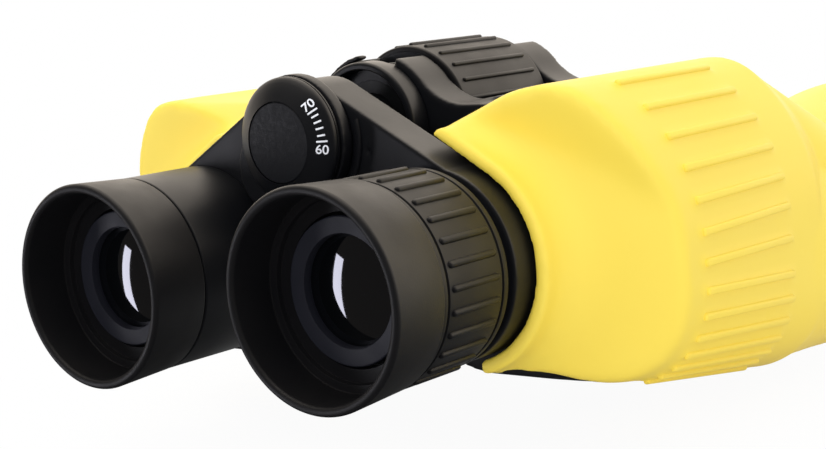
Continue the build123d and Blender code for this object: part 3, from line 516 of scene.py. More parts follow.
def soften(piece: Piece, voxel: float, rounds: int, keep: float) -> None:
    """Gives a piece the rounded edges of a casting or a moulding.

    Args:
        piece: the piece.
        voxel: the size of the new mesh's faces, in millimetres.
        rounds: how often it is smoothed.
        keep: the share of the faces that is kept.
    """
    use_modifier(piece, "REMESH", mode="VOXEL", voxel_size=voxel * MM, adaptivity=0.0)
    use_modifier(piece, "SMOOTH", factor=0.5, iterations=rounds)
    use_modifier(piece, "DECIMATE", ratio=keep)
    pick(piece)
    bpy.ops.object.shade_smooth()


def lofted(name: str, loops: Sequence[Sequence[Vector]]) -> Piece:
    """A solid between closed outlines with the same number of points.

    Args:
        name: the piece's name.
        loops: the points of each outline, in metres.

    Returns:
        The solid.
    """
    rings = []
    for loop in loops:
        deselect()
        bpy.ops.mesh.primitive_circle_add(
            vertices=len(loop), radius=MM, fill_type="NOTHING", location=(0, 0, 0)
        )
        ring = bpy.context.object
        for vertex, point in zip(ring.data.vertices, loop):
            vertex.co = point
        rings.append(ring)
    piece = joined(*rings)
    piece.name = name
    with editing(piece):
        bpy.ops.mesh.bridge_edge_loops()
        bpy.ops.mesh.select_all(action="SELECT")
        bpy.ops.mesh.fill_holes(sides=0)
        bpy.ops.mesh.select_all(action="SELECT")
        bpy.ops.mesh.normals_make_consistent(inside=False)
    return piece


def joined(first: Piece, *others: Piece) -> Piece:
    """Joins pieces into the first one."""
    deselect()
    for other in others:
        other.select_set(True)
    first.select_set(True)
    bpy.context.view_layer.objects.active = first
    bpy.ops.object.join()
    return first


@cache
def material_of(finish: Moulding | CoatedGlass) -> Material:
    """The material of a finish, made once."""
    return finish.material()


def dress(
    piece: Piece,
    finish: Moulding | CoatedGlass,
    body: Body,
    nodes: Iterable[str] = (),
) -> None:
    """Gives a piece its finish, its body and the CAD nodes that it stands for.

    Args:
        piece: the finished mesh.
        finish: its finish.
        body: the body that it moves with.
        nodes: the CAD nodes that it replaces.
    """
    piece.data.materials.clear()
    piece.data.materials.append(material_of(finish))
    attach(piece, body.value)
    if nodes:
        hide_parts(*nodes)
    LOG.info("%s: %d faces, rides on %s", piece.name, len(piece.data.polygons), body.value)


# Sub-assemblies


@dataclass
class Layout:
    """The axes and lengths that the sub-assemblies share."""

    eye_x: float = 28.5
    hinge_reach: float = 37.0
    objective: Point = (50.0, -8.0)

    @property
    def hinge(self) -> Point:
        """x and z of the hinge axis."""
        return (0.0, math.sqrt(self.hinge_reach**2 - self.eye_x**2))

    def eye(self, side: Side) -> Point:
        """x and z of an eyepiece axis."""
        return (side.value * self.eye_x, 0.0)

    def bell(self, side: Side) -> Point:
        """x and z of an objective axis."""
        return (side.value * self.objective[0], self.objective[1])


@dataclass(frozen=True)
class RibRing:
    """Rounded ribs along y round a drum: their count, back radius, width, start and end."""

    count: int
    tip_r: float
    width: float
    start: float
    end: float
    roundness: float = 0.48

    def build(self, name: str, axis: Point) -> Piece:
        """Spins the ribs about an axis given by x and z, as one mesh."""
        length = self.end - self.start
        ribs = bar(name, RIB_STOCK, length, self.width, self.roundness * self.width)
        centre = place(axis[0], (self.start + self.end) / 2, axis[1])
        out = Vector(((self.tip_r - RIB_STOCK / 2) * MM, 0, 0))
        ribs.data.transform(Matrix.Translation(centre + out))
        with editing(ribs):
            spin(self.count, centre, dupli=True)
            weld()
        return ribs


@dataclass
class Eyepiece:
    """One eyepiece: eyecup, bevelled ring, eye lens and the ring or sleeve behind the cup."""

    layout: Layout
    side: Side
    cup_lip_r: float = 19.5
    cup_base_r: float = 18.8
    cup_bore_r: float = 17.7
    cup_draft: float = 0.1
    cup_length: float = 12.8
    cup_floor: float = 10.4
    ledge_r: float = 16.1
    ledge: float = 9.2
    ledge_edge: float = 9.35
    floor_r: float = 15.95
    hole_r: float = 13.5
    ring_r: float = 13.0
    ring_clear_r: float = 9.8
    ring_bevel: float = 0.15
    ring_face: float = 9.45
    ring_inner_face: float = 9.75
    ring_throat: float = 10.9
    ring_seat: float = 10.6
    ring_back: float = 12.6
    lens_r: float = 12.36
    lens_margin: float = 2.0
    lens_edge: float = 12.7
    lens_sag: float = 1.8
    lens_rise: float = 1.1
    lens_depth: float = 2.6
    lens_steps: int = 14
    collar_start: float = 13.1
    collar_step: float = 14.9
    collar_step_r: float = 17.9
    collar_bore_r: float = 16.8
    sleeve_r: float = 18.75
    sleeve_end: float = 32.0
    drum_r: float = 18.25
    drum_end: float = 31.0
    drum_grooves: tuple[float, ...] = (14.5, 29.3)
    groove_half: float = 0.3
    groove_floor_half: float = 0.15
    groove_depth: float = 0.35
    ribs: RibRing = RibRing(28, 18.85, 1.3, 15.4, 28.2)

    def build(self) -> None:
        """Builds the eyepiece's pieces."""
        self.eyecup()
        self.lens_ring()
        self.eye_lens()
        if self.side is Side.RIGHT:
            self.dioptre_ring()
        else:
            self.sleeve()

    def eyecup(self) -> None:
        """The soft cup with a rolled lip and a filleted floor."""
        profile = rounded(
            [
                (self.hole_r, self.cup_length, 0.1),
                (self.cup_base_r, self.cup_length, 0.35),
                (self.cup_lip_r, 0.0, 0.95),
                (self.cup_bore_r, 0.0, 0.85),
                (self.cup_bore_r - self.cup_draft, self.ledge, 0.3),
                (self.ledge_r, self.ledge_edge, 0.12),
                (self.floor_r, self.cup_floor, 0.12),
                (self.hole_r, self.cup_floor, 0.2),
            ],
            7,
        )
        word = self.side.word
        cup = turned(word + "_eyecup_rubber", self.layout.eye(self.side), profile)
        dress(cup, GRIP_RUBBER, self.side.optics, [word + "_eyecup"])

    def lens_ring(self) -> None:
        """The bevelled ring that holds the eye lens."""
        profile = rounded(
            [
                (self.ring_clear_r, self.ring_throat, 0.1),
                (self.ring_clear_r + self.ring_bevel, self.ring_inner_face, 0.12),
                (self.ring_r, self.ring_face, 0.3),
                (self.ring_r, self.ring_seat, 0.0),
                (self.lens_r, self.ring_seat, 0.0),
                (self.lens_r, self.ring_back, 0.0),
                (self.ring_clear_r, self.ring_back, 0.0),
            ]
        )
        word = self.side.word
        ring = turned(word + "_lens_bezel", self.layout.eye(self.side), profile)
        # The bezel's finish carries painted light: a lighter, bluish grey for the camera-side light
        # inside the cup.
        dress(ring, BEZEL_PAINTED_LIGHT, self.side.optics, [word + "_eye_lens_ring"])

    def eye_lens(self) -> None:
        """The eye lens, domed towards the eye."""
        word = self.side.word
        clear = self.lens_r - self.lens_margin
        rim = self.lens_edge - self.lens_rise
        back = self.lens_edge + self.lens_depth
        profile = []
        for step in range(self.lens_steps + 1):
            share = step / self.lens_steps
            profile.append((clear * step / self.lens_steps, rim - self.lens_sag * (1 - share**2)))
        profile += [(clear, self.lens_edge), (self.lens_r, self.lens_edge)]
        profile += [(self.lens_r, back), (0.0, back)]
        lens = turned(word + "_eye_lens_glass", self.layout.eye(self.side), profile)
        # Crown glass with a faintly violet coating over the dark tube.
        glass = CoatedGlass(word + "_eye_lens_coating", "#030405", "#E4E5F0")
        dress(lens, glass, self.side.optics, [word + "_eye_lens"])

    def collar(self, radius: float, end: float, grooves: Sequence[float]) -> list[Point]:
        """The profile of a ring behind the eyecup.

        Args:
            radius: its outer radius.
            end: where it ends on y.
            grooves: places on y of fine grooves round it.

        Returns:
            The closed profile.
        """
        corners: list[Corner] = [
            (self.collar_step_r, self.collar_start, 0.08),
            (radius, self.collar_start, 0.4),
        ]
        for y in grooves:
            corners += [
                (radius, y - self.groove_half, 0.1),
                (radius - self.groove_depth, y - self.groove_floor_half, 0.05),
                (radius - self.groove_depth, y + self.groove_floor_half, 0.05),
                (radius, y + self.groove_half, 0.1),
            ]
        corners += [
            (radius, end, 0.4),
            (self.collar_bore_r, end, 0.08),
            (self.collar_bore_r, self.collar_step, 0.0),
            (self.collar_step_r, self.collar_step, 0.0),
        ]
        return rounded(corners, 4)

    def sleeve(self) -> None:
        """The plain sleeve of the left eyepiece."""
        profile = self.collar(self.sleeve_r, self.sleeve_end, ())
        sleeve = turned("left_sleeve_abs", self.layout.eye(self.side), profile)
        dress(sleeve, BLACK_ABS, Body.LEFT_EYEPIECE, ["left_sleeve"])

    def dioptre_ring(self) -> None:
        """The ribbed ring of the right eyepiece."""
        axis = self.layout.eye(self.side)
        profile = self.collar(self.drum_r, self.drum_end, self.drum_grooves)
        ring = turned("dioptre_ring_rubber", axis, profile)
        joined(ring, self.ribs.build("dioptre_ribs", axis))
        dress(ring, GRIP_RUBBER, Body.DIOPTRE, ["dioptre_ring"])


@dataclass
class Arms:
    """The two eyepiece arms, cast and painted, and the bead round the dial on the right one."""

    layout: Layout
    voxel: float = 0.35
    rounds: int = 8
    keep: float = 0.4
    bead_in_r: float = 12.95
    bead_out_r: float = 14.2
    bead_rear: float = 32.3
    bead_front: float = 33.2
    bead_low: float = -55.0
    bead_high: float = 14.0

    def build(self) -> None:
        """Builds both arms."""
        for side in Side:
            node = side.word + "_arm"
            arm = casting_copy(node + "_casting", node)
            soften(arm, self.voxel, self.rounds, self.keep)
            dress(arm, PAINTED_CASTING, side.arm, [node])
        self.bead()

    def bead(self) -> None:
        """Lays the raised bead on the right arm, as a stretch of a ring round the hinge."""
        profile = rounded(
            [
                (self.bead_in_r, self.bead_front, 0.0),
                (self.bead_in_r, self.bead_rear, 0.4),
                (self.bead_out_r, self.bead_rear, 0.4),
                (self.bead_out_r, self.bead_front, 0.0),
            ]
        )
        bead = turned("right_arm_bead", self.layout.hinge, profile)
        with editing(bead):
            for angle, way in ((self.bead_high, 1), (self.bead_low, -1)):
                turn = math.radians(angle)
                bpy.ops.mesh.select_all(action="SELECT")
                bpy.ops.mesh.bisect(
                    plane_co=place(self.layout.hinge[0], 0, self.layout.hinge[1]),
                    plane_no=(-way * math.sin(turn), 0, way * math.cos(turn)),
                    use_fill=True,
                    clear_outer=True,
                )
        shade(bead, 50)
        dress(bead, PAINTED_CASTING, Body.RIGHT_EYEPIECE)


@dataclass
class Dial:
    """The eye-spacing dial on the hinge: a domed disc, its grained inlay and the printed scale.

    The dome gives radius and y from the inlay to the rim, and the back goes on from the rim with
    its fine groove to the screw's hole and the seat of the inlay.
    """

    layout: Layout
    dome: tuple[Point, ...] = (
        (7.72, 25.5), (8.8, 26.04), (10.0, 26.68), (11.0, 27.28), (11.6, 27.72), (11.9, 28.05),
        (12.0, 28.4),
    )
    back: tuple[Point, ...] = (
        (12.0, 28.75), (11.82, 28.82), (11.82, 28.96), (12.0, 29.03), (12.0, 29.4), (11.8, 29.6),
        (11.4, 29.75), (11.4, 30.0), (6.54, 30.0), (6.54, 28.7), (1.6, 28.7), (1.6, 27.9),
        (3.04, 27.9), (3.04, 26.6), (7.72, 26.6),
    )
    inlay_r: float = 7.6
    inlay_face: float = 25.42
    inlay_edge: float = 25.55
    inlay_back: float = 26.5
    tick_r: float = 10.05
    tick_width: float = 0.35
    tick_height: float = 0.12
    tick_rounding: float = 0.05
    short_tick: float = 1.5
    long_tick: float = 2.15
    slope_reach: float = 0.6
    ticks: tuple[float, ...] = (0.0, 6.25, 13.7, 20.8, 27.7, 33.5)
    digit_height: float = 1.75
    digit_span: float = 2.45
    digit_step: float = 8.3
    digit_relief: float = 1.5
    font_extrude: float = 0.02
    font_weight: float = 0.012

    def height(self, radius: float) -> float:
        """y of the domed face at a radius."""
        for (r0, y0), (r1, y1) in zip(self.dome, self.dome[1:]):
            if radius <= r1:
                return y0 + (y1 - y0) * (radius - r0) / (r1 - r0)
        return self.dome[-1][1]

    def build(self) -> None:
        """Builds the disc, the inlay, the ticks and the numerals."""
        disc = turned("dial_disc", self.layout.hinge, self.dome + self.back)
        dress(disc, BLACK_ABS, Body.LEFT_EYEPIECE, ["scale_disc"])
        inlay = rounded(
            [
                (0.0, self.inlay_back, 0.0),
                (0.0, self.inlay_face, 0.0),
                (self.inlay_r, self.inlay_edge, 0.3),
                (self.inlay_r, self.inlay_back, 0.1),
            ]
        )
        cap = turned("dial_inlay", self.layout.hinge, inlay)
        dress(cap, GRAINED_ABS, Body.LEFT_EYEPIECE, ["scale_inlay"])
        self.print_scale()

    def seat(self, angle: float, radius: float) -> Matrix:
        """The place of a mark on the dome, with its x outward along the face and z out of it."""
        turn = math.radians(angle)
        reach = self.slope_reach
        slope = (self.height(radius + reach) - self.height(radius - reach)) / (2 * reach)
        radial = Vector((math.cos(turn), 0.0, math.sin(turn)))
        along = (radial + Vector((0, slope, 0))).normalized()
        around = Vector((-math.sin(turn), 0.0, math.cos(turn)))
        x, z = self.layout.hinge
        spot = place(*(Vector((x, self.height(radius), z)) + radial * radius))
        return seated(along, around, along.cross(around), spot)

    def print_scale(self) -> None:
        """Prints the ticks and the two numerals."""
        ends = (self.ticks[0], self.ticks[-1])
        for number, angle in enumerate(self.ticks):
            length = self.long_tick if angle in ends else self.short_tick
            name = f"scale_tick_{number + 1}"
            tick = bar(name, length, self.tick_width, self.tick_height, self.tick_rounding)
            tick.data.transform(self.seat(angle, self.tick_r))
            dress(tick, SCALE_INK, Body.LEFT_EYEPIECE)
        self.numeral("60", ends[0] - self.digit_step)
        self.numeral("70", ends[1] + self.digit_step)

    def numeral(self, text: str, angle: float) -> None:
        """Prints a numeral that reads outward from the middle of the dial."""
        deselect()
        bpy.ops.object.text_add(location=(0, 0, 0))
        piece = bpy.context.object
        piece.name = "scale_numeral_" + text
        piece.data.body = text
        piece.data.align_x = "CENTER"
        piece.data.align_y = "CENTER"
        piece.data.extrude = self.font_extrude
        piece.data.offset = self.font_weight
        bpy.ops.object.convert(target="MESH")
        piece = bpy.context.object
        low, high = (
            Vector(map(end, zip(*(v.co for v in piece.data.vertices)))) for end in (min, max)
        )
        width = self.digit_span * MM / (high.x - low.x)
        height = self.digit_height * MM / (high.y - low.y)
        fit = Matrix.Diagonal((width, height, MM * self.digit_relief, 1))
        piece.data.transform(fit @ Matrix.Translation(-(low + high) / 2))
        piece.data.transform(self.seat(angle, self.tick_r))
        dress(piece, SCALE_INK, Body.LEFT_EYEPIECE)


@dataclass
class Focus:
    """The focus wheel and the cap of the hinge behind it."""

    layout: Layout
    start: float = 63.7
    end: float = 91.4
    core_r: float = 13.84
    grip_r: float = 14.95
    ribs: RibRing = RibRing(24, 15.5, 0.95, 65.7, 89.4)
    cap_r: float = 12.9
    cap_recess_r: float = 11.4
    cap_bore_r: float = 9.04
    cap_start: float = 49.4
    cap_floor: float = 52.6
    cap_end: float = 54.0

    def build(self) -> None:
        """Builds the grip and the hinge cap."""
        drum = rounded(
            [
                (self.core_r, self.start, 0.05),
                (self.grip_r, self.start, 0.6),
                (self.grip_r, self.end, 0.6),
                (self.core_r, self.end, 0.05),
            ]
        )
        grip = turned("focus_wheel_grip", self.layout.hinge, drum)
        joined(grip, self.ribs.build("wheel_ribs", self.layout.hinge))
        dress(grip, GRIP_RUBBER, Body.WHEEL, ["focus_grip"])
        ring = rounded(
            [
                (self.cap_bore_r, self.cap_floor, 0.0),
                (self.cap_recess_r, self.cap_floor, 0.3),
                (self.cap_recess_r, self.cap_start, 0.3),
                (self.cap_r, self.cap_start, 0.7),
                (self.cap_r, self.cap_end, 0.3),
                (self.cap_bore_r, self.cap_end, 0.0),
            ]
        )
        cap = turned("hinge_cap_ring", self.layout.hinge, ring)
        dress(cap, PAINTED_CASTING, Body.LEFT_BARREL, ["hinge_cap"])


@dataclass
class Case:
    """The cast halves of the prism case with their hinge knuckles."""

    voxel: float = 0.5
    rounds: int = 5
    keep: float = 0.4

    def build(self) -> None:
        """Builds both halves."""
        for side in Side:
            for part in ("housing", "rear_cover", "front_cover"):
                node = f"{side.word}_{part}"
                casting = casting_copy(node + "_casting", node)
                soften(casting, self.voxel, self.rounds, self.keep)
                dress(casting, PAINTED_CASTING, side.barrel, [node])


@dataclass(frozen=True)
class Stretch:
    """A stretch of the case section: an arc, or a straight fall if its radius is zero."""

    centre: Point
    radius: float
    first: float
    last: float
    fall: float = 0.0

    @property
    def length(self) -> float:
        """The length of the stretch, in millimetres."""
        return math.radians(self.first - self.last) * self.radius + self.fall

    def spot(self, share: float) -> tuple[Point, float]:
        """A place on the stretch.

        Args:
            share: how far along it, from 0 to 1.

        Returns:
            x and z of the place, and the direction of the outward normal in degrees.
        """
        angle = self.first + share * (self.last - self.first)
        turn = math.radians(angle)
        x = self.centre[0] + self.radius * math.cos(turn)
        z = self.centre[1] + self.radius * math.sin(turn) - share * self.fall
        return (x, z), angle


@dataclass
class CaseOutline:
    """The outer section of the case from its crown down the outer side."""

    side_x: float = 70.3
    upper_r: float = 36.8
    upper_z: float = -0.2
    corner_r: float = 13.3
    blend: float = 50.0
    lower_r: float = 18.9
    floor_z: float = -23.3
    floor_slope: float = 0.17
    ridge_y: float = 49.0
    shoulder: Point = (17.0, 27.0)

    def stretches(self, y: float) -> list[Stretch]:
        """The stretches of the section at a place on y, from the crown to the floor."""
        floor = self.floor_z - (y - self.ridge_y) * self.floor_slope
        turn = math.radians(self.blend)
        upper = (self.side_x - self.upper_r, self.upper_z)
        reach = self.upper_r - self.corner_r
        corner = (upper[0] + reach * math.cos(turn), upper[1] + reach * math.sin(turn))
        dx, dz = corner[0] - self.shoulder[0], corner[1] - self.shoulder[1]
        lean = math.degrees(math.acos(self.corner_r / math.hypot(dx, dz)))
        touch = math.degrees(math.atan2(dz, dx)) + 180 - lean
        lower = (self.side_x - self.lower_r, floor + self.lower_r)
        return [
            Stretch(corner, self.corner_r, touch, self.blend),
            Stretch(upper, self.upper_r, self.blend, 0.0),
            Stretch((self.side_x, self.upper_z), 0.0, 0.0, 0.0, self.upper_z - lower[1]),
            Stretch(lower, self.lower_r, 0.0, -90.0),
        ]


@dataclass
class Armour:
    """The rubber armour: a softened skin with raised ribs on its outer side."""

    layout: Layout
    outline: CaseOutline = field(default_factory=CaseOutline)
    voxel: float = 0.6
    rounds: int = 6
    keep: float = 0.5
    rib_count: int = 14
    rib_start: float = 55.8
    rib_end: float = 87.7
    rib_width: float = 1.5
    rib_height: float = 0.95
    rib_pitch: float = 7.05
    rib_pitch_loss: float = 0.16
    rib_lead: float = 8.4
    rib_fan: float = 0.5
    rib_rounding: float = 0.5
    face_from: float = 24.0
    face_to: float = 52.0
    face_fade: float = 3.0
    face_rounds: int = 70
    flank_rear: float = 97.0
    flank_front: float = 146.0
    flank_top: float = 30.0
    flank_sink: float = 0.3
    flank_steps: tuple[int, int, int] = (8, 6, 16)
    sink_steps: int = 12
    bell_r: float = 27.3
    bell_top: float = 38.0
    bell_low: float = -110.0

    def build(self) -> None:
        """Builds both skins and their ribs."""
        for side in Side:
            node = side.word + "_armour"
            skin = casting_copy(node + "_rubber", node)
            joined(skin, self.flank(side))
            size = self.voxel * MM
            use_modifier(skin, "REMESH", mode="VOXEL", voxel_size=size, adaptivity=0.0)
            self.ease_face(skin, side)
            soften(skin, self.voxel, self.rounds, self.keep)
            dress(skin, ARMOUR_RUBBER, side.barrel, [node])
            self.ribs(side)

    def ease_face(self, skin: Piece, side: Side) -> None:
        """Smooths the dished rear face between the lip and the ridge."""
        group = skin.vertex_groups.new(name="rear_face")
        eye = self.layout.eye(side)
        for vertex in skin.data.vertices:
            spot = vertex.co / MM - DATUM
            reach = math.hypot(spot.x - eye[0], spot.z - eye[1]) - self.face_from
            share = min(reach, self.face_to - spot.y) / self.face_fade
            if share > 0.0 and vertex.normal.y < 0.0:
                group.add([vertex.index], min(1.0, share), "REPLACE")
        use_modifier(
            skin, "SMOOTH", factor=0.5, iterations=self.face_rounds, vertex_group="rear_face"
        )

    def flank(self, side: Side) -> Piece:
        """The outer flank, which runs on from the case into the bell."""
        upper, fall, lower = self.outline.stretches(self.flank_rear)[1:]
        first = 1 - self.flank_top / upper.first
        ups, falls, lows = self.flank_steps
        rear = [upper.spot(first + (1 - first) * n / ups)[0] for n in range(ups)]
        rear += [fall.spot(n / falls)[0] for n in range(falls)]
        rear += [lower.spot(n / lows)[0] for n in range(lows + 1)]
        x0, z0 = self.layout.objective
        span = self.bell_low - self.bell_top
        front = []
        for number in range(len(rear)):
            turn = math.radians(self.bell_top + span * number / (len(rear) - 1))
            front.append((x0 + self.bell_r * math.cos(turn), z0 + self.bell_r * math.sin(turn)))
        loops = []
        for y, line in ((self.flank_rear, rear), (self.flank_front, front)):
            sunk = []
            for number, (x, z) in enumerate(line):
                share = self.flank_sink * max(0.0, 1 - number / self.sink_steps) ** 2
                sunk.append((x + share * (x0 - x), z + share * (z0 - z)))
            loops.append([place(side.value * x, y, z) for x, z in [*sunk, (x0, z0)]])
        return lofted(side.word + "_flank", loops)

    def along(self, stretches: Sequence[Stretch], run: float) -> tuple[int, float]:
        """Which stretch a length from the crown ends on, and the share of it."""
        index = 0
        while run > stretches[index].length:
            run -= stretches[index].length
            index += 1
        return index, run / stretches[index].length

    def ribs(self, side: Side) -> None:
        """Lays the ribs on one side's outer wall."""
        rears = self.outline.stretches(self.rib_start)
        fronts = self.outline.stretches(self.rib_end)
        length = self.rib_end - self.rib_start
        height = 2 * self.rib_height
        pattern = bar("rib_pattern", self.rib_width, length, height, self.rib_rounding)
        for number in range(self.rib_count):
            run = self.rib_lead + self.rib_pitch * number - self.rib_pitch_loss * number**2
            index, share = self.along(rears, run)
            fanned = sum(stretch.length for stretch in fronts[:index])
            fanned += share * fronts[index].length
            front_index, front_share = self.along(fronts, run + self.rib_fan * (fanned - run))
            rear, angle = rears[index].spot(share)
            front, _ = fronts[front_index].spot(front_share)
            foot = place(side.value * rear[0], self.rib_start, rear[1])
            head = place(side.value * front[0], self.rib_end, front[1])
            along = (head - foot).normalized()
            turn = math.radians(angle)
            out = Vector((side.value * math.cos(turn), 0.0, math.sin(turn)))
            across = along.cross(out).normalized()
            seat = seated(across, along, across.cross(along), (foot + head) / 2)
            rib = copy_of(pattern, f"{side.word}_armour_rib_{number + 1:02d}", seat)
            dress(rib, ARMOUR_RUBBER, side.barrel)
        discard(pattern)


@dataclass
class Objective:
    """The front end of one half: the lens and the ring that locks it."""

    layout: Layout
    side: Side
    lens_r: float = 24.0
    rear: float = 155.54
    edge: float = 157.34
    sag: float = 3.0
    lens_steps: int = 20
    lock_r: float = 23.3
    lock_gap: float = 0.3
    lock_end: float = 160.0

    def build(self) -> None:
        """Builds the lens face and the lock ring."""
        word = self.side.word
        axis = self.layout.bell(self.side)
        profile = [(0.0, self.rear), (self.lens_r, self.rear)]
        for step in range(self.lens_steps, -1, -1):
            share = step / self.lens_steps
            radius = self.lens_r * step / self.lens_steps
            profile.append((radius, self.edge + self.sag * (1 - share**2)))
        lens = turned(word + "_objective_glass", axis, profile)
        # Crown glass with a greenish coating over the dark tube.
        glass = CoatedGlass(word + "_objective_coating", "#060A0C", "#BFE0D6")
        dress(lens, glass, self.side.barrel, [word + "_objective_crown"])
        lock = rounded(
            [
                (self.lock_r, self.edge + self.lock_gap, 0.0),
                (self.lens_r, self.edge + self.lock_gap, 0.0),
                (self.lens_r, self.lock_end, 0.2),
                (self.lock_r, self.lock_end, 0.2),
            ]
        )
        ring = turned(word + "_lock_ring_turned", axis, lock)
        dress(ring, ANODISED, self.side.barrel, [word + "_objective_lock_ring"])


def dress_frame() -> None:
    """Gives the CAD nodes that stay their finishes, by the record's material slots."""
    finishes = {
        "armour_rubber": ARMOUR_RUBBER,
        "eyecup_rubber": GRIP_RUBBER,
        "arm_casting": PAINTED_CASTING,
        "case_casting": PAINTED_CASTING,
        "ocular_metal": ANODISED,
        "objective_metal": ANODISED,
        "lens_glass": PRISM_GLASS,
        "prism_glass": PRISM_GLASS,
        "steel": STEEL,
        "dioptre_rubber": GRIP_RUBBER,
        "sleeve_plastic": BLACK_ABS,
        "hinge_metal": PAINTED_CASTING,
        "brass": BRASS,
        "wheel_plastic": BLACK_ABS,
        "wheel_rubber": GRIP_RUBBER,
        "scale_plastic": BLACK_ABS,
        "inlay_plastic": GRAINED_ABS,
    }
    blackened = ("hinge_tube", "focus_spindle")
    for part in frame["record"]["subparts"]:
        node = frame["nodes"][part["node"]]
        finish = ANODISED if part["node"] in blackened else finishes[part["material_slot"]]
        node.data.materials.clear()
        node.data.materials.append(material_of(finish))


@dataclass(frozen=True)
class Softbox:
    """A rectangular lamp: its place and what it faces in metres, its size, watts and colour.

    It leans in its own plane by an angle in degrees, and may be left out of reflections.
    """

    name: str
    spot: Corner
    target: Corner
    size: Point
    power: float
    colour: str
    lean: float = 0.0
    mirrored: bool = True

    def hang(self) -> None:
        """Puts the lamp in the scene."""
        data = bpy.data.lights.new(self.name, "AREA")
        data.shape = "RECTANGLE"
        data.size, data.size_y = self.size
        data.energy = self.power
        data.color = linear(self.colour)[:3]
        lamp = linked(self.name, data)
        lamp.visible_glossy = self.mirrored
        lamp.location = self.spot
        facing = (Vector(self.spot) - Vector(self.target)).to_track_quat("Z", "Y").to_matrix()
        lean = Matrix.Rotation(math.radians(self.lean), 3, "Z")
        lamp.rotation_euler = (facing @ lean).to_euler()


OVERHEAD = Softbox(
    "overhead_softbox", (-0.1, -0.15, 0.8), (0.0, 0.0, 0.03), (0.7, 0.7), 2.3, "#FFF6EA"
)
# Lights the rear faces, and stays out of the lenses.
REAR = Softbox(
    "rear_softbox",
    (0.35, -0.9, 0.3),
    (0.03, -0.03, 0.035),
    (0.6, 0.6),
    2.9,
    "#F6F5FF",
    mirrored=False,
)
# Shows as the pale strip in each eye lens.
LENS_STRIP = Softbox(
    "lens_strip",
    (-0.9, -0.785, -0.185),
    (0.0, -0.075, 0.037),
    (0.16, 0.8),
    2.3,
    "#F6F5FF",
    -13.0,
)


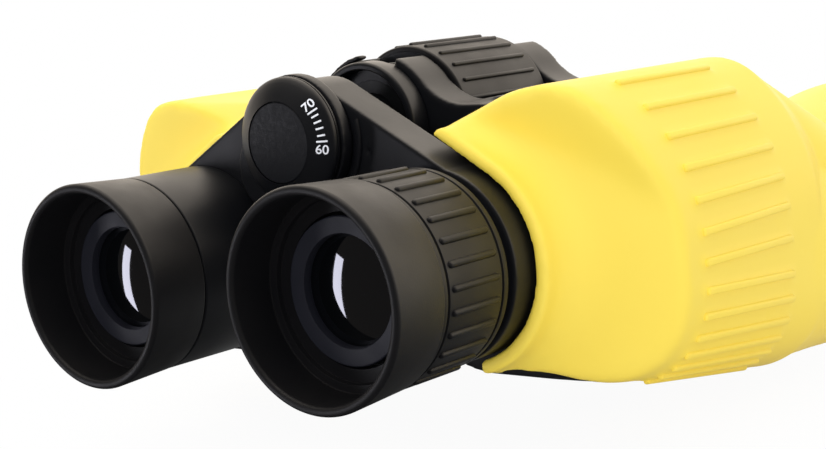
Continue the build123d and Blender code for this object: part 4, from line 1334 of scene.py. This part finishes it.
@dataclass
class Studio:
    """A pale floor, soft light from above and behind, and the camera of the photograph."""

    focal_px: float = 1647.7
    picture_px: float = 826.0
    sensor: float = 36.0
    place_m: Corner = (0.215247, -0.276349, 0.083997)
    right: Corner = (0.7647, 0.6374, -0.0884)
    back: Corner = (0.6436, -0.7538, 0.1329)
    dim: float = 0.025
    fill: float = 0.85
    mirrored: float = 2.2
    world_span: Point = (-0.35, 0.5)
    floor_span: Point = (-0.09, 0.12)
    fibre_m: float = 0.025
    floor_m: float = 6.0
    floor_edge: float = -0.098
    floor_z: float = -0.0005
    shadow_m: Point = (0.16, 0.13)
    shadow_span: Point = (0.35, 0.85)
    shadow_light: float = 0.95

    def build(self) -> None:
        """Sets the camera, the world, the floor and the lamps."""
        self.camera()
        self.world()
        self.floor()
        for lamp in (OVERHEAD, REAR, LENS_STRIP):
            lamp.hang()
        bpy.context.scene.view_settings.view_transform = "Standard"

    def camera(self) -> None:
        """Puts the camera where the photograph was taken from."""
        data = bpy.data.cameras.new("camera")
        data.sensor_fit = "HORIZONTAL"
        data.sensor_width = self.sensor
        data.lens = self.focal_px / self.picture_px * self.sensor
        data.clip_start = 0.01
        camera = linked("camera", data)
        back = Vector(self.back).normalized()
        up = back.cross(Vector(self.right)).normalized()
        camera.matrix_world = seated(up.cross(back), up, back, Vector(self.place_m))
        bpy.context.scene.camera = camera

    def rays(self, tree: Tree) -> tuple[Socket, Socket]:
        """Whether a ray is the camera's, and whether a glossy or clear surface sent it on."""
        path = add_node(tree, "LightPath", {}).outputs
        inputs = {0: path["Is Glossy Ray"], 1: path["Is Transmission Ray"]}
        sent = add_node(tree, "Math", inputs, operation="MAXIMUM")
        return path["Is Camera Ray"], sent.outputs[0]

    def shown(self, tree: Tree, way: Socket, span: Point) -> Socket:
        """How bright the set looks: white to the camera, dim on the eyecups' side in reflections.

        Args:
            tree: the node tree.
            way: the coordinate that grows along the line of sight.
            span: where the dim side ends and where the bright side begins.

        Returns:
            The strength of the set's white.
        """
        inputs = {"Value": way, "From Min": span[0], "From Max": span[1], "To Min": self.dim}
        ahead = add_node(tree, "MapRange", inputs, interpolation_type="SMOOTHSTEP")
        inputs = {0: ahead.outputs["Result"], 1: self.rays(tree)[0]}
        return add_node(tree, "Math", inputs, operation="MAXIMUM").outputs[0]

    def world(self) -> None:
        """White behind the object, dim behind the camera, and a plain light on the object."""
        world = bpy.data.worlds.new("studio")
        bpy.context.scene.world = world
        world.use_nodes = True
        tree = world.node_tree
        tree.nodes.clear()
        way = add_node(tree, "TexCoord", {}).outputs["Generated"]
        parts = add_node(tree, "SeparateXYZ", {0: way})
        strength = self.shown(tree, parts.outputs["Y"], self.world_span)
        bright = add_node(tree, "Math", {0: strength, 1: self.mirrored}, operation="MULTIPLY")
        levels = (("#FFF3E4", bright.outputs[0]), ("#F6F8FF", self.fill), ("#FFFFFF", 1.0))
        mirrored, light, white = (
            add_node(tree, "Background", {"Color": linear(colour), "Strength": level}).outputs[0]
            for colour, level in levels
        )
        camera_ray, sent = self.rays(tree)
        lit = add_node(tree, "MixShader", {0: sent, 1: light, 2: mirrored})
        seen = add_node(tree, "MixShader", {0: camera_ray, 1: lit.outputs[0], 2: white})
        add_node(tree, "OutputWorld", {"Surface": seen.outputs[0]})

    def paper(self) -> Material:
        """White paper that shows white to the camera, but for a faint shadow under the object."""
        made = blank_material("white_paper_sweep")
        tree = made.node_tree
        spot = add_node(tree, "TexCoord", {}).outputs["Object"]
        inputs = {"Vector": spot, "Scale": 1 / self.fibre_m, "Detail": 2.0}
        fibre = add_node(tree, "TexNoise", inputs).outputs["Fac"]
        inputs = {"Factor": fibre, "A": linear("#F4F4F4"), "B": linear("#F7F7F7")}
        tint = add_node(tree, "Mix", inputs, data_type="RGBA")
        paper = add_node(tree, "BsdfDiffuse", {"Color": mix_colour(tint)}).outputs[0]
        parts = add_node(tree, "SeparateXYZ", {0: spot})
        strength = self.shown(tree, parts.outputs["Y"], self.floor_span)
        inputs = {"Color": linear("#FFFFFF"), "Strength": strength}
        white = add_node(tree, "Emission", inputs).outputs[0]
        inputs = {0: spot, 1: (1 / self.shadow_m[0], 1 / self.shadow_m[1], 0.0)}
        reach = add_node(tree, "VectorMath", inputs, operation="MULTIPLY")
        away = add_node(tree, "VectorMath", {0: reach.outputs[0]}, operation="LENGTH")
        inputs = {
            "Value": away.outputs["Value"],
            "From Min": self.shadow_span[0],
            "From Max": self.shadow_span[1],
            "To Min": self.shadow_light,
        }
        fade = add_node(tree, "MapRange", inputs).outputs["Result"]
        camera_ray, sent = self.rays(tree)
        direct = add_node(tree, "Math", {0: camera_ray, 1: fade}, operation="MULTIPLY")
        share = add_node(tree, "Math", {0: direct.outputs[0], 1: sent}, operation="MAXIMUM")
        mix = add_node(tree, "MixShader", {0: share.outputs[0], 1: paper, 2: white})
        add_node(tree, "OutputMaterial", {"Surface": mix.outputs[0]})
        return made

    def floor(self) -> None:
        """A pale table top.

        It ends just behind the eyecups, so that the eye lenses mirror the dim room and the strip
        light beside it.
        """
        deselect()
        bpy.ops.mesh.primitive_grid_add(
            x_subdivisions=2,
            y_subdivisions=2,
            size=self.floor_m,
            location=(0, self.floor_m / 2 + self.floor_edge, self.floor_z),
        )
        floor = bpy.context.object
        floor.name = "floor"
        settle(floor)
        floor.data.materials.append(self.paper())


def main() -> None:
    """Builds the object piece by piece, then the studio round it."""
    logging.basicConfig(level=logging.INFO, format="%(name)s %(message)s")
    layout = Layout()
    dress_frame()
    Armour(layout).build()
    Case().build()
    Arms(layout).build()
    Focus(layout).build()
    Dial(layout).build()
    for side in Side:
        Eyepiece(layout, side).build()
        Objective(layout, side).build()
    Studio().build()


if __name__ == "__main__":
    main()
